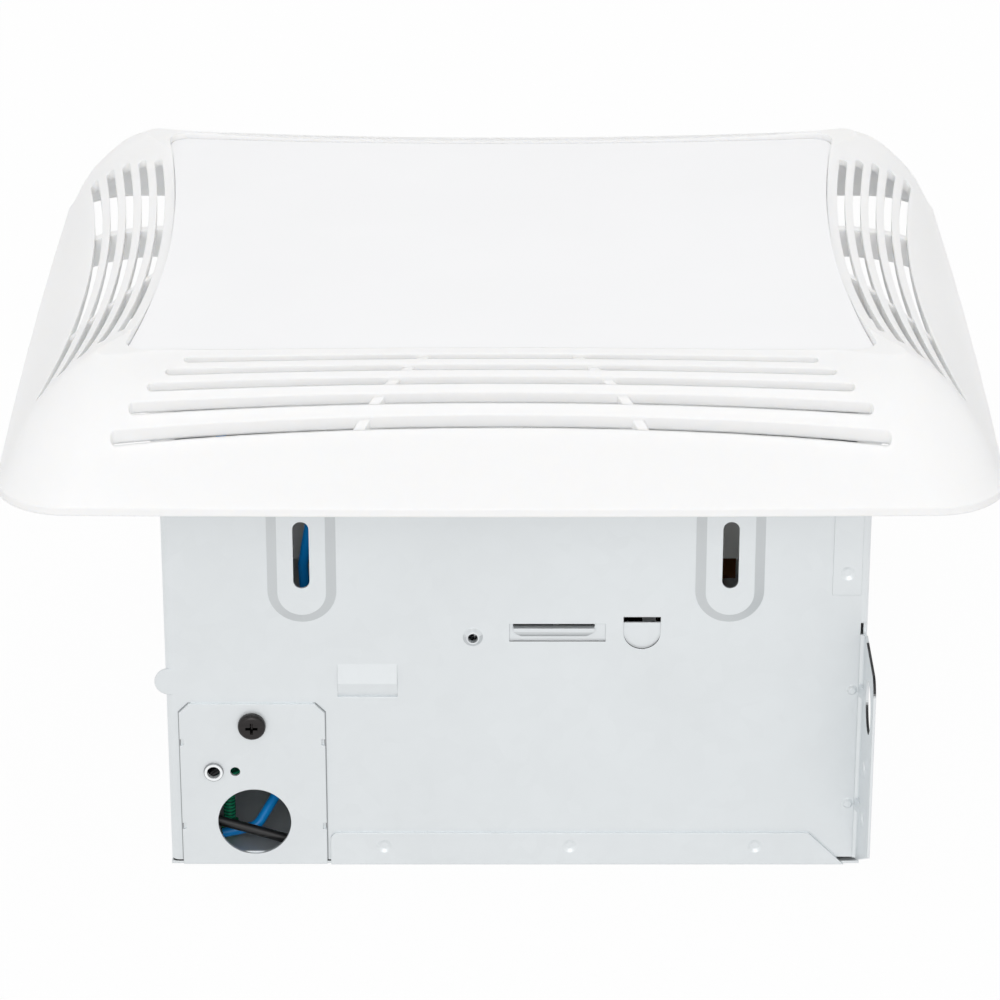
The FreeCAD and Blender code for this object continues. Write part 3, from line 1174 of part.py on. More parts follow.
def grille_webs(skin):
    """Two deep webs under the slots of each side, which carry the bars between the slots."""
    under = skin.translated(VEC(0, 0, -value("web_drop")))
    deep = skin.translated(VEC(0, 0, -value("web_drop + web_depth")))
    webs = []
    last = value("grille_slots") - 1
    for turn in range(4):
        kind = "front" if turn % 2 == 0 else "side"
        for sign in (-1, 1):
            ends = []
            for row in (-0.6, last + 0.6):
                rib = value("%s_rib" % kind) + row * value("%s_rib_step" % kind)
                ends.append(grille_point(kind, row, sign * rib))
            way = (ends[1] - ends[0]).normalize()
            side = VEC(-way.y, way.x, 0) * (value("grille_rib") / 2)
            corners = [ends[0] - side, ends[1] - side, ends[1] + side, ends[0] + side]
            sides = list(zip(corners, corners[1:] + corners[:1]))
            webs.append(upright(sides, turn).common(under).cut(deep))
    return webs


def cover_frame():
    """The moulded shell: a lofted skin, the well that holds the lens, four seats and two spring hooks."""
    plane = value("lens_plane")
    skin = skin_loft(0.0)
    hollow = skin_loft(0.75 * value("cover_wall"))
    gap, wall, depth = value("lens_gap"), value("well_wall"), value("well_depth")
    well = prism(lens_outline(gap + wall, plane - depth), depth + 5).common(skin)
    inside = []
    rim = value("housing_height + cover_gap")
    for sign_x in (-1, 1):
        for sign_y in (-1, 1):
            spot = VEC(sign_x * value("(housing_width - sheet)/2 - bend_radius/2"),
                       sign_y * value("(housing_depth - sheet)/2 - bend_radius/2"), rim)
            post = Part.makeCylinder(value("post_radius"), plane - rim, spot)
            inside.append(post.common(skin))
    hook_z = value("hook_height")
    well_face = value("lens_half_y") + gap + wall
    for side in (-1, 1):
        plate = Part.makeBox(2 * value("hook_half"), wall, plane - depth / 2 - hook_z + value("hook_drop"),
                             VEC(-value("hook_half"), well_face - wall, hook_z - value("hook_drop")))
        pin = Part.makeCylinder(value("hook_radius"), value(INNER_Y) - well_face + wall,
                                VEC(0, well_face - wall, hook_z), VEC(0, 1, 0))
        hook = plate.fuse(pin)
        if side < 0:
            hook.rotate(VEC(), VEC(0, 0, 1), 180)
        inside.append(hook)
    shell = skin.cut([hollow] + grille_slots()).fuse(grille_webs(skin) + [well] + inside)
    opening = prism(lens_outline(gap, plane - value("lens_thickness")), 20)
    below = prism(lens_outline(gap - value("ledge_width"), plane - depth - 1), depth + 1)
    under = prism(lens_outline(gap, plane - depth - 1),
                  depth + 1 - value("lens_thickness") - value("ledge_height"))
    item = doc.addObject("Part::Feature", "cover_frame")
    item.Shape = shell.cut([opening, below, under]).removeSplitter()
    keep(item, "cover_frame")


def lens():
    """The flat diffusing lens, with its upper edge softened."""
    plane = value("lens_plane")
    blank = prism(lens_outline(0.0, plane - value("lens_thickness")), value("lens_thickness"))
    rim = [edge for edge in blank.Edges if edge.BoundBox.ZMin > plane - 1e-3]
    item = doc.addObject("Part::Feature", "lens")
    item.Shape = blank.makeFillet(value("lens_edge_round"), rim)
    keep(item, "lens")


def cover_springs():
    """Two torsion springs: a small coil on the cover's hook and two legs down through the bracket."""
    wire, coil = value("spring_wire"), value("spring_coil")
    centre = VEC(0, value(INNER_Y + " - spring_inset"), value("hook_height"))
    drop = centre.z - value("spring_tip_height")
    lean = math.atan2(value("spring_tip_spread") - coil, drop)
    sweep = math.pi - 2 * lean + 2 * math.pi * value("spring_turns")
    steps = 2 * int(value("spring_turns")) + 1
    rise = (2 * wire + value("spring_turn_gap")) / (2 * math.pi)

    def turn(angle):
        travelled = math.pi - lean - angle
        return centre + VEC(coil * math.cos(angle), rise * (travelled - sweep / 2), coil * math.sin(angle))

    angles = [math.pi - lean - sweep * count / (2 * steps) for count in range(2 * steps + 1)]
    edges = []
    for count in range(steps):
        edges.append(Part.Arc(*[turn(angle) for angle in angles[2 * count:2 * count + 3]]).toShape())
    for end, sign in ((0, -1), (-1, 1)):
        near = turn(angles[end])
        far = near + VEC(sign * math.sin(lean), 0, -math.cos(lean)) * (drop / math.cos(lean))
        edge = Part.LineSegment(far, near) if end == 0 else Part.LineSegment(near, far)
        edges.insert(0 if end == 0 else len(edges), edge.toShape())
    shape = tube(Part.Wire(edges), wire)
    spots = []
    for edge in edges:
        spots += edge.discretize(Distance=wire / 2)
    apart = int(2 * math.pi * coil / wire)
    least = min(spot.distanceToPoint(other) for count, spot in enumerate(spots)
                for other in spots[count + apart:]) - 2 * wire
    print("Each cover spring keeps %.2f mm to itself" % least)
    if least < 0.4:
        raise RuntimeError("the turns of the cover springs are too close")
    for label, angle in (("front", 180), ("rear", 0)):
        item = doc.addObject("Part::Feature", "cover_spring_" + label)
        copy = shape.copy()
        copy.rotate(VEC(), VEC(0, 0, 1), angle)
        item.Shape = copy
        keep(item, "cover_spring_" + label)


def check(items):
    """Stop if anything failed to build, or a cut took nothing away."""
    for item in doc.Objects:
        if {"Invalid", "Error"} & set(item.State):
            raise RuntimeError("%s failed: %s" % (item.Name, item.State))
        cuts = ("PartDesign::Pocket", "PartDesign::SubtractiveLoft")
        if item.TypeId in cuts and item.Shape.Volume > item.BaseFeature.Shape.Volume - 1e-3:
            raise RuntimeError("%s cuts nothing" % item.Name)
    for item in items:
        if item.Shape.isNull() or not item.Shape.isValid() or not item.Shape.Solids:
            raise RuntimeError("%s has no valid solid" % item.Label)


housing_wrap()
back_panel()
joist_tab()
wiring_cover()
wiring_box()
duct_connector()
damper_flap()
blower_plate()
scroll()
blower_wheel()
motor()
lamp_pan()
pan_brackets()
lamps()
leads()
cover_frame()
lens()
cover_springs()
doc.recompute()
check(kept)
os.makedirs("parts", exist_ok=True)
for item in kept:
    item.Shape.exportStep("parts/%s.step" % item.Label)
    print("%-24s %d solids, %.0f mm3" % (item.Label, len(item.Shape.Solids), item.Shape.Volume))
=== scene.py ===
import itertools
import json
import math

import bpy
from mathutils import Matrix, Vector


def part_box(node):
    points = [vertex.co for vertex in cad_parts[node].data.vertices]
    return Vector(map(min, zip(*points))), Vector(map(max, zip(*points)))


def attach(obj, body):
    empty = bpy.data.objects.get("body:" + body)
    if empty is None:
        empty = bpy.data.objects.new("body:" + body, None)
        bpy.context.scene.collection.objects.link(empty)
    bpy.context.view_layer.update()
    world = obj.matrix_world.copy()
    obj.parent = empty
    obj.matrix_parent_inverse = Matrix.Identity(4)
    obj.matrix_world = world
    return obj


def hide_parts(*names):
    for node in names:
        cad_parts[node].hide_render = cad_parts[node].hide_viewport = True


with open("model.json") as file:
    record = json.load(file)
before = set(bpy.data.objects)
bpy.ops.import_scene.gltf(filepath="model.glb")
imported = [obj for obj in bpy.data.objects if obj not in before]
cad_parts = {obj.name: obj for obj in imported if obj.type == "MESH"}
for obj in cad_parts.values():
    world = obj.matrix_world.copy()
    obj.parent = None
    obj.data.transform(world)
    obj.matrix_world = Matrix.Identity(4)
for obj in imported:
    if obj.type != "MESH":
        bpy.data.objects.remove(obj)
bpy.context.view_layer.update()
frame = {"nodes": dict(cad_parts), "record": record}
nodes = frame["nodes"]
slot_of = {row["node"]: row["material_slot"] for row in frame["record"]["subparts"]}
body_of = {name: body for body, group in frame["record"]["behaviour"]["bodies"].items() for name in group}
MM = 0.001

# Tones of the sheet steel, a painted highlight, painted shade for seams, and a near-black for painted shade
# and the tab's dark edge
STEEL = (0.775, 0.805, 0.82)
PAINTED_HIGHLIGHT = (0.94, 0.96, 0.97)
PAINTED_SEAM_SHADE = (0.34, 0.35, 0.36)
NEAR_BLACK = (0.03, 0.03, 0.032)

# Places on the sheet steel: ranges in millimetres, and small sizes in metres
FAR = 300.0
FRONT_WALL = (-FAR, -100.5)
PLATE_CORNER = 3.0 * MM
SEAM_WIDTH = 0.3 * MM
FOOT_GAP = 0.5 * MM
EYELET_X = -91.3 * MM
EYELET_Z = 32.1 * MM
EYELET_RIM = (1.9 * MM, 2.65 * MM)
EYELET_SEAM = (2.8 * MM, 3.0 * MM)
CRISP = 0.05 * MM

# Screws, in metres and radians
HEAD_RADIUS = 4.2 * MM
HEAD_HEIGHT = 2.4 * MM
SHANK_RADIUS = 2.0 * MM
DRIVER_TAPER = 0.45
SMOOTH_ANGLE = math.radians(28.0)
SCREW_TURN = 0.7
GROUND_CORE = 1.62 * MM
GROUND_NECK_RADIUS = 1.6 * MM
GROUND_NECK_LENGTH = 1.0 * MM
GROUND_OVERLAP = 0.2 * MM
GROUND_NUT_RADIUS = 3.0 * MM
GROUND_NUT_HEIGHT = 2.4 * MM
THREAD_SIZE = 0.55 * MM
THREAD_PITCH = 1.15 * MM
THREAD_TURNS = 13
THREAD_START = 2.9 * MM

# Stage and camera, in metres and degrees, and each lamp's place, size and watts
FLOOR_SIZE = 12.0
FLOOR_DROP = 0.4 * MM
FLOOR_GLOW = 0.95
SKY_LIGHT = 0.83
LAMPS = (
    ("front_softbox", (-0.15, -1.88, 1.10), 0.9, 8.0),
    ("top_softbox", (0.3, 0.2, 2.6), 1.6, 3.0),
)
LAMP_AIM = (0.0, 0.0, 0.1)
CAMERA_PLACE = (-0.00470, -1.22435, 0.62882)
CAMERA_DIP = 24.3


# Small helpers for finishes

def new_finish(name):
    """An empty finish with its shader, and the place on the piece as a starting point."""
    finish = bpy.data.materials.new(name)
    finish.use_nodes = True
    tree = finish.node_tree
    shader = tree.nodes["Principled BSDF"]
    place = tree.nodes.new("ShaderNodeTexCoord").outputs["Object"]
    return finish, tree, shader, place


def axes_of(tree, vector):
    """The X, Y and Z of a place or a direction."""
    parts = tree.nodes.new("ShaderNodeSeparateXYZ")
    tree.links.new(vector, parts.inputs["Vector"])
    return parts.outputs


def stretched(tree, place, scale):
    """The place with each axis scaled, so a pattern can run along the sheet."""
    mapping = tree.nodes.new("ShaderNodeMapping")
    mapping.inputs["Scale"].default_value = scale
    tree.links.new(place, mapping.inputs["Vector"])
    return mapping.outputs["Vector"]


def speckle(tree, place, scale, detail=3.0):
    """An uneven, cloudy pattern."""
    noise = tree.nodes.new("ShaderNodeTexNoise")
    noise.inputs["Scale"].default_value = scale
    noise.inputs["Detail"].default_value = detail
    noise.inputs["Roughness"].default_value = 0.55
    tree.links.new(place, noise.inputs["Vector"])
    return noise.outputs["Fac"]


def bands(tree, place, along, scale, distortion=0.0):
    """Even bands along an axis, for turns of wire, threads and stacked sheets."""
    wave = tree.nodes.new("ShaderNodeTexWave")
    wave.bands_direction = along
    wave.inputs["Scale"].default_value = scale
    wave.inputs["Distortion"].default_value = distortion
    tree.links.new(place, wave.inputs["Vector"])
    return wave.outputs["Fac"]


def spread(tree, amount, low, high, start=0.3, stop=0.7):
    """A pattern's amount turned into a number between low and high."""
    band = tree.nodes.new("ShaderNodeMapRange")
    band.inputs["From Min"].default_value = start
    band.inputs["From Max"].default_value = stop
    band.inputs["To Min"].default_value = low
    band.inputs["To Max"].default_value = high
    tree.links.new(amount, band.inputs["Value"])
    return band.outputs["Result"]


def tint(tree, amount, dark, light, start=0.3, stop=0.7):
    """A pattern's amount turned into a colour between two tones."""
    ramp = tree.nodes.new("ShaderNodeValToRGB")
    ramp.color_ramp.elements[0].position = start
    ramp.color_ramp.elements[0].color = dark + (1.0,)
    ramp.color_ramp.elements[1].position = stop
    ramp.color_ramp.elements[1].color = light + (1.0,)
    tree.links.new(amount, ramp.inputs["Fac"])
    return ramp.outputs["Color"]


def soft_edge(tree, radius):
    """A surface direction that rounds sharp edges off by a small radius."""
    bevel = tree.nodes.new("ShaderNodeBevel")
    bevel.samples = 6
    bevel.inputs["Radius"].default_value = radius
    return bevel.outputs["Normal"]


def relief(tree, shader, amount, strength, height, way=None):
    """A pattern felt as bumps, on top of a surface direction where one is given."""
    bump = tree.nodes.new("ShaderNodeBump")
    if way is not None:
        tree.links.new(way, bump.inputs["Normal"])
    bump.inputs["Strength"].default_value = strength
    bump.inputs["Distance"].default_value = height
    tree.links.new(amount, bump.inputs["Height"])
    tree.links.new(bump.outputs["Normal"], shader.inputs["Normal"])


def shade(colour, factor):
    """A colour made darker or lighter, up to white."""
    return tuple(min(part * factor, 1.0) for part in colour)


def worked(tree, how, *amounts):
    """A sum on patterns and plain numbers."""
    maths = tree.nodes.new("ShaderNodeMath")
    maths.operation = how
    for index, amount in enumerate(amounts):
        if isinstance(amount, float):
            maths.inputs[index].default_value = amount
        else:
            tree.links.new(amount, maths.inputs[index])
    return maths.outputs["Value"]


# Masks, which are one where a mark lies and nought elsewhere

def every(tree, *masks):
    """One where all of the masks are one."""
    result = masks[0]
    for mask in masks[1:]:
        result = worked(tree, "MULTIPLY", result, mask)
    return result


def within(tree, amount, low, high, soft=0.4 * MM):
    """One where an amount lies between two values, and nought a little way outside them."""
    above = spread(tree, amount, 0.0, 1.0, low - soft, low)
    below = spread(tree, amount, 1.0, 0.0, high, high + soft)
    return every(tree, above, below)


def inside(tree, spot, **ranges):
    """One where the place lies in the range of millimetres that is given for an axis."""
    masks = [within(tree, spot[axis], low * MM, high * MM) for axis, (low, high) in ranges.items()]
    return every(tree, *masks)


def looks(tree, axis):
    """How far a surface looks along an axis, from -1 to 1."""
    surface = tree.nodes.new("ShaderNodeNewGeometry")
    return axes_of(tree, surface.outputs["True Normal"])[axis]


def looks_up(tree):
    """One on surfaces that look upwards."""
    return spread(tree, looks(tree, "Z"), 0.0, 1.0, 0.2, 0.4)


def mixed(tree, mask, tone, other):
    """A tone that gives way to another where the mask is one."""
    mix = tree.nodes.new("ShaderNodeMix")
    mix.data_type = "RGBA"
    # Inputs 6 and 7 are the two colours, and output 2 is their mix
    tree.links.new(mask, mix.inputs["Factor"])
    tree.links.new(tone, mix.inputs[6])
    mix.inputs[7].default_value = other + (1.0,)
    return mix.outputs[2]


# Painted shade and painted highlights on the sheet steel, and a near-black edge on the joist tab

def painted_flank_shade(tree, spot):
    """Painted shade on slanted flanks that look forward and not upwards: the rims of the slot pads, the
    boss and the louvre.
    """
    leaning = within(tree, looks(tree, "Y"), -0.92, -0.6, soft=0.05)
    hanging = within(tree, looks(tree, "Z"), -1.0, 0.15, soft=0.1)
    return every(tree, leaning, hanging, inside(tree, spot, X=(-90.0, 90.0), Z=(70.0, FAR)))


def painted_slit_shade(tree, spot):
    """Painted shade of the narrow slits under the louvre's panel and round the tongue, on faces that look
    up.
    """
    return every(tree, looks_up(tree), inside(tree, spot, X=(-3.0, 45.0), Y=(-FAR, -98.0), Z=(72.5, 79.0)))


def tab_edge(tree, spot):
    """The top edge of the joist tab and the rim of its large hole: faces there that look up are made
    near-black.
    """
    return every(tree, looks_up(tree), inside(tree, spot, Y=(-FAR, -107.0), Z=(51.0, FAR)))


def painted_plate_seam_shade(tree, spot):
    """Painted shade of the gap along the sides and the slanted corners of the wiring plate."""
    low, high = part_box("wiring_cover")
    half = (high[0] - low[0]) / 2
    aside = worked(tree, "ABSOLUTE", worked(tree, "SUBTRACT", spot["X"], low[0] + half))
    past_side = worked(tree, "SUBTRACT", aside, half)
    slant = worked(tree, "ADD", aside, spot["Z"])
    past_slant = worked(tree, "SUBTRACT", slant, half + high[2] - PLATE_CORNER)
    past_corner = worked(tree, "MULTIPLY", past_slant, math.sqrt(0.5))
    outside = worked(tree, "MAXIMUM", past_side, past_corner)
    gap = within(tree, outside, -SEAM_WIDTH, SEAM_WIDTH, CRISP)
    return every(tree, gap, inside(tree, spot, Y=FRONT_WALL, Z=(0.0, high[2] / MM)))


def painted_foot_shade(tree, spot):
    """Painted shade of the gap between the front wall's foot and the back panel."""
    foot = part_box("housing_wrap")[0][2]
    strip = within(tree, spot["Z"], 0.0, foot + FOOT_GAP, CRISP)
    return every(tree, strip, inside(tree, spot, Y=FRONT_WALL))


def round_eyelet(tree, spot, inner, outer):
    """One between two radii round the eyelet of the wiring plate."""
    sideways = worked(tree, "SUBTRACT", spot["X"], EYELET_X)
    upwards = worked(tree, "SUBTRACT", spot["Z"], EYELET_Z)
    squares = [worked(tree, "MULTIPLY", way, way) for way in (sideways, upwards)]
    distance = worked(tree, "SQRT", worked(tree, "ADD", *squares))
    return within(tree, distance, inner, outer, CRISP)


def painted_eyelet_highlight(tree, spot):
    """A painted highlight on the rolled rim of the eyelet."""
    return round_eyelet(tree, spot, *EYELET_RIM)


def painted_eyelet_seam_shade(tree, spot):
    """Painted shade in the line where the eyelet meets the plate."""
    return round_eyelet(tree, spot, *EYELET_SEAM)


# Finishes

def galvanised(name, marks=()):
    """Zinc-coated sheet: faint crystals, rolling streaks, a satin sheen, and marks in tones of their own:
    painted shade, painted highlights and a near-black edge.
    """
    finish, tree, shader, place = new_finish(name)
    crystals = tree.nodes.new("ShaderNodeTexVoronoi")
    crystals.inputs["Scale"].default_value = 190.0
    tree.links.new(place, crystals.inputs["Vector"])
    grey = tree.nodes.new("ShaderNodeRGBToBW")
    tree.links.new(crystals.outputs["Color"], grey.inputs["Color"])
    cloud = speckle(tree, place, 22.0, detail=4.0)
    streak = speckle(tree, stretched(tree, place, (8.0, 8.0, 420.0)), 1.0, detail=2.0)
    blend = tree.nodes.new("ShaderNodeMix")
    blend.inputs["Factor"].default_value = 0.14
    tree.links.new(cloud, blend.inputs["A"])
    tree.links.new(grey.outputs["Val"], blend.inputs["B"])
    tone = tint(tree, blend.outputs["Result"], shade(STEEL, 0.97), shade(STEEL, 1.02))
    spot = axes_of(tree, place)
    for where, other in marks:
        tone = mixed(tree, where(tree, spot), tone, other)
    tree.links.new(tone, shader.inputs["Base Color"])
    tree.links.new(spread(tree, cloud, 0.40, 0.49), shader.inputs["Roughness"])
    shader.inputs["Metallic"].default_value = 0.62
    relief(tree, shader, streak, strength=0.04, height=0.2 * MM, way=soft_edge(tree, 0.3 * MM))
    return finish


def moulded(name, colour, roughness=0.42, grain=1400.0, depth=0.05, dark=None, wall=None, edge=None):
    """Moulded plastic: a nearly even colour, a fine matt grain and slow changes of gloss.

    Upright walls may have a tone of their own, used as painted light, and sharp edges may be rounded off by
    a radius."""
    finish, tree, shader, place = new_finish(name)
    slow = speckle(tree, place, 14.0)
    fine = speckle(tree, place, grain, detail=2.0)
    tone = tint(tree, slow, dark or shade(colour, 0.975), colour)
    if wall is not None:
        upright = within(tree, looks(tree, "Z"), -0.12, 0.12, soft=0.05)
        tone = mixed(tree, upright, tone, wall)
    tree.links.new(tone, shader.inputs["Base Color"])
    tree.links.new(spread(tree, slow, roughness - 0.05, roughness + 0.05), shader.inputs["Roughness"])
    relief(tree, shader, fine, strength=depth, height=0.1 * MM, way=soft_edge(tree, edge) if edge else None)
    return finish


def milky_cover(name):
    """The cover's white: light soaks into it, its edges are rounded off, and painted light makes its
    upright walls paler.
    """
    # Upright walls get a paler tone: painted light, chiefly inside the slots.
    finish = moulded(name, (0.952, 0.952, 0.946), dark=(0.9282, 0.9263, 0.9131), wall=(0.99, 0.99, 0.985),
                     edge=0.6 * MM)
    shader = finish.node_tree.nodes["Principled BSDF"]
    shader.inputs["Subsurface Weight"].default_value = 1.0
    shader.inputs["Subsurface Radius"].default_value = (1.0, 0.97, 0.92)
    shader.inputs["Subsurface Scale"].default_value = 0.8 * MM
    return finish


def metal(name, colour, roughness=0.35, lines=(60.0, 60.0, 900.0)):
    """Drawn, turned or plated metal with fine working lines."""
    finish, tree, shader, place = new_finish(name)
    line = speckle(tree, stretched(tree, place, lines), 1.0)
    tree.links.new(tint(tree, line, shade(colour, 0.88), shade(colour, 1.06)), shader.inputs["Base Color"])
    tree.links.new(spread(tree, line, roughness - 0.08, roughness + 0.08), shader.inputs["Roughness"])
    shader.inputs["Metallic"].default_value = 1.0
    relief(tree, shader, line, strength=0.08, height=0.1 * MM)
    return finish


def frosted_glass(name):
    """A lamp's glass, frosted white on its inside and smooth on its outside."""
    finish, tree, shader, place = new_finish(name)
    cloud = speckle(tree, place, 12.0, detail=2.0)
    tree.links.new(tint(tree, cloud, (0.90, 0.90, 0.885), (0.93, 0.93, 0.915)), shader.inputs["Base Color"])
    tree.links.new(spread(tree, cloud, 0.20, 0.26), shader.inputs["Roughness"])
    return finish


def wound_copper(name):
    """Enamelled wire laid in close turns under a clear tape."""
    finish, tree, shader, place = new_finish(name)
    turns = bands(tree, place, "Y", 420.0, distortion=0.6)
    tone = tint(tree, turns, (0.20, 0.07, 0.02), (0.56, 0.24, 0.08), 0.1, 0.9)
    tree.links.new(tone, shader.inputs["Base Color"])
    shader.inputs["Metallic"].default_value = 0.7
    shader.inputs["Roughness"].default_value = 0.35
    relief(tree, shader, turns, strength=0.4, height=0.3 * MM)
    return finish


def green_thread(name):
    """Green lacquer, with painted highlights on the crests of the thread and painted shade in its roots."""
    finish, tree, shader, place = new_finish(name)
    turns = bands(tree, place, "Z", 273.0)
    # Light crests and dark roots: painted highlights and painted shade on the thread.
    tone = tint(tree, turns, (0.004, 0.12, 0.06), (0.02, 0.52, 0.26), 0.1, 0.9)
    tree.links.new(tone, shader.inputs["Base Color"])
    tree.links.new(spread(tree, speckle(tree, place, 300.0), 0.24, 0.36), shader.inputs["Roughness"])
    relief(tree, shader, turns, strength=0.3, height=0.3 * MM)
    return finish


def stamped_core(name):
    """The edges of thin stamped sheets, stacked along the shaft."""
    finish, tree, shader, place = new_finish(name)
    sheets = bands(tree, place, "Z", 320.0)
    tone = tint(tree, sheets, (0.16, 0.165, 0.18), (0.40, 0.41, 0.43), 0.1, 0.6)
    tree.links.new(tone, shader.inputs["Base Color"])
    shader.inputs["Metallic"].default_value = 0.8
    shader.inputs["Roughness"].default_value = 0.45
    relief(tree, shader, sheets, strength=0.3, height=0.2 * MM)
    return finish


# Painted shade on the front wall: the rims of the slot pads, the slits, the wiring plate's edges and the
# wall's foot.
painted_wall_shade = ((painted_flank_shade, shade(STEEL, 0.80)), (painted_slit_shade, NEAR_BLACK), (painted_plate_seam_shade, PAINTED_SEAM_SHADE), (painted_foot_shade, NEAR_BLACK))
finishes = {
    "galvanised_steel": galvanised("galvanised_sheet"),
    "cover_plastic": milky_cover("white_cover"),
    "lens_plastic": moulded("white_lens", (0.958, 0.960, 0.970), 0.34, grain=2200.0, depth=0.03),
    "dark_screw": metal("blackened_screw", (0.045, 0.042, 0.042), 0.34),
    "zinc_screw": metal("zinc_screw", (0.66, 0.66, 0.63), 0.38),
    "ground_green": green_thread("green_ground"),
    "lead_blue": moulded("blue_lead", (0.004, 0.36, 0.98), 0.35),
    "lead_black": moulded("black_lead", (0.012, 0.012, 0.013), 0.38),
    "lead_white": moulded("white_lead", (0.80, 0.80, 0.78), 0.40),
    "connector_nylon": moulded("nylon_connector", (0.78, 0.76, 0.69)),
    "duct_plastic": moulded("duct_moulding", (0.045, 0.045, 0.048), 0.45, grain=900.0, depth=0.10),
    "wheel_plastic": moulded("wheel_moulding", (0.07, 0.07, 0.075), 0.45, grain=900.0, depth=0.08),
    "cast_bracket": metal("cast_bracket", (0.60, 0.60, 0.60), 0.50, lines=(500.0, 500.0, 500.0)),
    "core_steel": stamped_core("stamped_core"),
    "coil_tape": wound_copper("wound_coil"),
    "bright_steel": metal("ground_shaft", (0.72, 0.72, 0.73), 0.22),
    "white_enamel": moulded("white_enamel", (0.86, 0.86, 0.84), 0.28, grain=700.0, depth=0.04),
    "holder_plastic": moulded("lampholder", (0.78, 0.77, 0.71), 0.30),
    "lamp_glass": frosted_glass("frosted_lamp"),
    "lamp_cap": metal("lamp_cap", (0.70, 0.67, 0.60), 0.32),
    "spring_wire": metal("spring_wire", (0.55, 0.55, 0.56), 0.30),
    "pressed_wall": galvanised("pressed_wall", painted_wall_shade),
    # The joist tab's top edge and hole rim are made near-black.
    "dark_edged_tab": galvanised("dark_edged_tab", ((tab_edge, NEAR_BLACK),)),
    # The eyelet gets a painted highlight on its rim and painted shade round it.
    "eyelet_plate": galvanised("eyelet_plate", ((painted_eyelet_highlight, PAINTED_HIGHLIGHT), (painted_eyelet_seam_shade, PAINTED_SEAM_SHADE))),
}
own_finish = {"housing_wrap": "pressed_wall", "joist_tab": "dark_edged_tab", "wiring_cover": "eyelet_plate"}


def dress(piece, finish_name):
    """Give a piece one finish all over."""
    piece.data.materials.clear()
    piece.data.materials.append(finishes[finish_name])


for node_name, node in nodes.items():
    dress(node, own_finish.get(node_name, slot_of[node_name]))


# Pieces made by hand

def only(piece):
    """Make one piece the only selected one."""
    bpy.ops.object.select_all(action="DESELECT")
    piece.select_set(True)
    bpy.context.view_layer.objects.active = piece


def choose(piece, kind, wanted):
    """Open a piece for editing, with only the wanted edges or faces chosen."""
    only(piece)
    bpy.ops.object.mode_set(mode="EDIT")
    bpy.ops.mesh.select_mode(type=kind)
    bpy.ops.mesh.select_all(action="DESELECT")
    bpy.ops.object.mode_set(mode="OBJECT")
    members = piece.data.edges if kind == "EDGE" else piece.data.polygons
    for member in members:
        member.select = wanted(member)
    bpy.ops.object.mode_set(mode="EDIT")


def fixed(piece):
    """Put a piece's place, turn and scale into its mesh."""
    only(piece)
    bpy.ops.object.transform_apply(location=True, rotation=True, scale=True)
    return piece


def drum(radius, low, high, sides):
    """A plain round bar between two heights."""
    bpy.ops.object.select_all(action="DESELECT")
    bpy.ops.mesh.primitive_cylinder_add(vertices=sides, radius=radius, depth=high - low,
                                        location=(0.0, 0.0, (low + high) / 2))
    return fixed(bpy.context.active_object)


def cut_away(piece, tool):
    """Take a tool's form out of a piece."""
    only(piece)
    bpy.ops.object.modifier_add(type="BOOLEAN")
    cutter = piece.modifiers[-1]
    cutter.operation = "DIFFERENCE"
    cutter.solver = "EXACT"
    cutter.object = tool
    bpy.ops.object.modifier_apply(modifier=cutter.name)
    only(tool)
    bpy.ops.object.delete()


def joined(pieces):
    """One piece out of several."""
    only(pieces[0])
    for piece in pieces[1:]:
        piece.select_set(True)
    if len(pieces) > 1:
        bpy.ops.object.join()
    return bpy.context.active_object


def cross_tool(reach, width, low, high):
    """The two crossing arms of a driver's tapered tip."""
    arms = []
    for turn in (0.0, math.pi / 2):
        bpy.ops.object.select_all(action="DESELECT")
        bpy.ops.mesh.primitive_cube_add(size=1.0, location=(0.0, 0.0, (low + high) / 2))
        arm = bpy.context.active_object
        arm.scale = (2 * reach, width, high - low)
        arm.rotation_euler = (0.0, 0.0, turn)
        choose(fixed(arm), "FACE", lambda face: face.normal.z < -0.9)
        bpy.ops.transform.resize(value=(DRIVER_TAPER, DRIVER_TAPER, 1.0), center_override=(0.0, 0.0, low))
        bpy.ops.object.mode_set(mode="OBJECT")
        arms.append(arm)
    return arms


def pan_head(shank_radius, shank_length):
    """A screw that stands on its point at -Z: a rounded pan head with a cross recess, and its shank."""
    head = drum(HEAD_RADIUS, 0.0, HEAD_HEIGHT, 48)

    def on_top(edge):
        """Whether an edge lies on the head's flat top."""
        return all(head.data.vertices[index].co.z > 0.9 * HEAD_HEIGHT for index in edge.vertices)

    choose(head, "EDGE", on_top)
    bpy.ops.mesh.bevel(offset=0.62 * HEAD_HEIGHT, segments=5, affect="EDGES")
    bpy.ops.object.mode_set(mode="OBJECT")
    recess = cross_tool(0.5 * HEAD_RADIUS, 0.24 * HEAD_RADIUS, 0.25 * HEAD_HEIGHT, 1.2 * HEAD_HEIGHT)
    for arm in recess:
        cut_away(head, arm)
    shank = drum(shank_radius, -shank_length, 0.1 * HEAD_HEIGHT, 24)
    screw = joined([head, shank])
    bpy.ops.object.shade_smooth_by_angle(angle=SMOOTH_ANGLE)
    return screw


def settle(piece, node_name):
    """Name a finished piece, give it its finish and let it stand for a CAD node."""
    piece.name = node_name + "_detail"
    piece.data.name = piece.name
    dress(piece, slot_of[node_name])
    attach(piece, body_of[node_name])
    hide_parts(node_name)


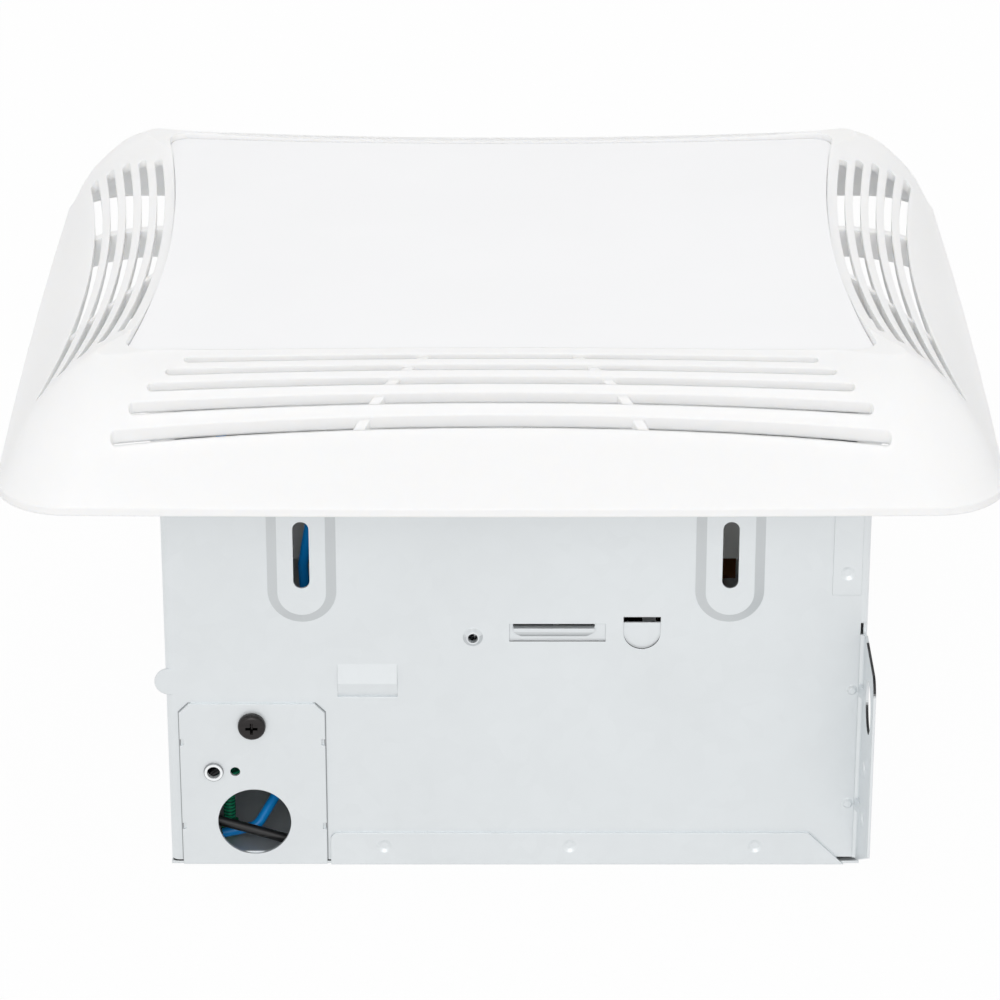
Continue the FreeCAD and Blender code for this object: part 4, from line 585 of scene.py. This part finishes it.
def recessed_screws(node_name, along, shank_length):
    """Cross-head screws for a node's plain ones, at the corners of its box, looking along an axis."""
    low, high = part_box(node_name)
    axis = "xyz".index(along[1])
    seat = high[axis] - HEAD_HEIGHT if along[0] == "+" else low[axis] + HEAD_HEIGHT
    places = []
    for near, far in zip(low, high):
        places.append(sorted({round(near + HEAD_RADIUS, 5), round(far - HEAD_RADIUS, 5)}))
    places[axis] = [seat]
    turn = {"+z": 0.0, "+y": -math.pi / 2, "-y": math.pi / 2}[along]
    screws = []
    for number, spot in enumerate(itertools.product(*places)):
        screw = pan_head(SHANK_RADIUS, shank_length)
        screw.rotation_euler = (0.0, 0.0, SCREW_TURN * number)
        fixed(screw)
        screw.rotation_euler = (turn, 0.0, 0.0)
        screw.location = spot
        screws.append(fixed(screw))
    settle(joined(screws), node_name)


def threaded_ground_screw():
    """The green ground screw with its thread, standing on a nut in the wiring corner."""
    low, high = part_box("ground_screw")
    neck = high[2] - HEAD_HEIGHT
    core = drum(GROUND_CORE, low[2], neck + GROUND_OVERLAP, 28)
    bpy.ops.object.select_all(action="DESELECT")
    bpy.ops.mesh.primitive_circle_add(vertices=3, radius=THREAD_SIZE,
                                      location=(GROUND_CORE, 0.0, low[2] + THREAD_START),
                                      rotation=(math.pi / 2, math.pi / 6, 0.0))
    thread = fixed(bpy.context.active_object)
    bpy.ops.object.modifier_add(type="SCREW")
    helix = thread.modifiers[-1]
    helix.screw_offset = THREAD_PITCH
    helix.iterations = THREAD_TURNS
    helix.steps = 20
    helix.render_steps = 20
    bpy.ops.object.modifier_apply(modifier=helix.name)
    head = pan_head(GROUND_NECK_RADIUS, GROUND_NECK_LENGTH)
    head.location = (0.0, 0.0, neck)
    fixed(head)
    nut = drum(GROUND_NUT_RADIUS, low[2], low[2] + GROUND_NUT_HEIGHT, 6)
    screw = joined([core, thread, head, nut])
    bpy.ops.object.shade_smooth_by_angle(angle=SMOOTH_ANGLE)
    screw.location = ((low[0] + high[0]) / 2, (low[1] + high[1]) / 2, 0.0)
    settle(fixed(screw), "ground_screw")


recessed_screws("wiring_cover_screw", "-y", shank_length=7.0 * MM)
recessed_screws("duct_screws", "+y", shank_length=2.0 * MM)
recessed_screws("pan_screws", "+z", shank_length=7.0 * MM)
threaded_ground_screw()


# Floor, light and camera

def seen_rays(tree):
    """One for what the eye meets, straight on, through glass or mirrored in metal, and else nought."""
    path = tree.nodes.new("ShaderNodeLightPath")
    straight = worked(tree, "MAXIMUM", path.outputs["Is Camera Ray"], path.outputs["Is Transmission Ray"])
    return worked(tree, "MAXIMUM", straight, path.outputs["Is Glossy Ray"])


def white_stage():
    """A white floor that keeps a faint shadow of the fan."""
    bpy.ops.object.select_all(action="DESELECT")
    bpy.ops.mesh.primitive_plane_add(size=FLOOR_SIZE, location=(0.0, 0.0, -FLOOR_DROP))
    floor = bpy.context.active_object
    floor.name = "floor"
    finish = bpy.data.materials.new("white_floor")
    finish.use_nodes = True
    tree = finish.node_tree
    tree.nodes.clear()
    output = tree.nodes.new("ShaderNodeOutputMaterial")
    mix = tree.nodes.new("ShaderNodeMixShader")
    glow = tree.nodes.new("ShaderNodeEmission")
    cloth = tree.nodes.new("ShaderNodeBsdfDiffuse")
    cloth.inputs["Color"].default_value = (0.93, 0.93, 0.93, 1.0)
    glow.inputs["Color"].default_value = (1.0, 1.0, 1.0, 1.0)
    tree.links.new(worked(tree, "MULTIPLY", seen_rays(tree), FLOOR_GLOW), mix.inputs["Fac"])
    tree.links.new(cloth.outputs["BSDF"], mix.inputs[1])
    tree.links.new(glow.outputs["Emission"], mix.inputs[2])
    tree.links.new(mix.outputs["Shader"], output.inputs["Surface"])
    floor.data.materials.append(finish)


def studio_light():
    """White surroundings, and soft lamps in front of the fan and above it."""
    world = bpy.data.worlds.new("studio")
    bpy.context.scene.world = world
    world.use_nodes = True
    tree = world.node_tree
    tree.nodes.clear()
    output = tree.nodes.new("ShaderNodeOutputWorld")
    sky = tree.nodes.new("ShaderNodeBackground")
    sky.inputs["Color"].default_value = (1.0, 1.0, 1.0, 1.0)
    strength = spread(tree, seen_rays(tree), SKY_LIGHT, 1.0, 0.0, 1.0)
    tree.links.new(strength, sky.inputs["Strength"])
    tree.links.new(sky.outputs["Background"], output.inputs["Surface"])
    for name, place, size, power in LAMPS:
        lamp = bpy.data.lights.new(name, "AREA")
        lamp.energy = power
        lamp.size = size
        item = bpy.data.objects.new(name, lamp)
        item.location = place
        item.rotation_euler = (Vector(LAMP_AIM) - Vector(place)).to_track_quat("-Z", "Y").to_euler()
        bpy.context.scene.collection.objects.link(item)


def photo_camera():
    """The photograph's viewpoint: in front, looking down by some 24 degrees, with a long lens."""
    lens = bpy.data.cameras.new("camera")
    lens.sensor_width = 36.0
    lens.lens = 150.9
    lens.clip_end = 50.0
    camera = bpy.data.objects.new("camera", lens)
    camera.location = CAMERA_PLACE
    camera.rotation_euler = (math.radians(90.0 - CAMERA_DIP), 0.0, 0.0)
    bpy.context.scene.collection.objects.link(camera)
    bpy.context.scene.camera = camera


white_stage()
studio_light()
photo_camera()
bpy.context.scene.view_settings.view_transform = "Standard"
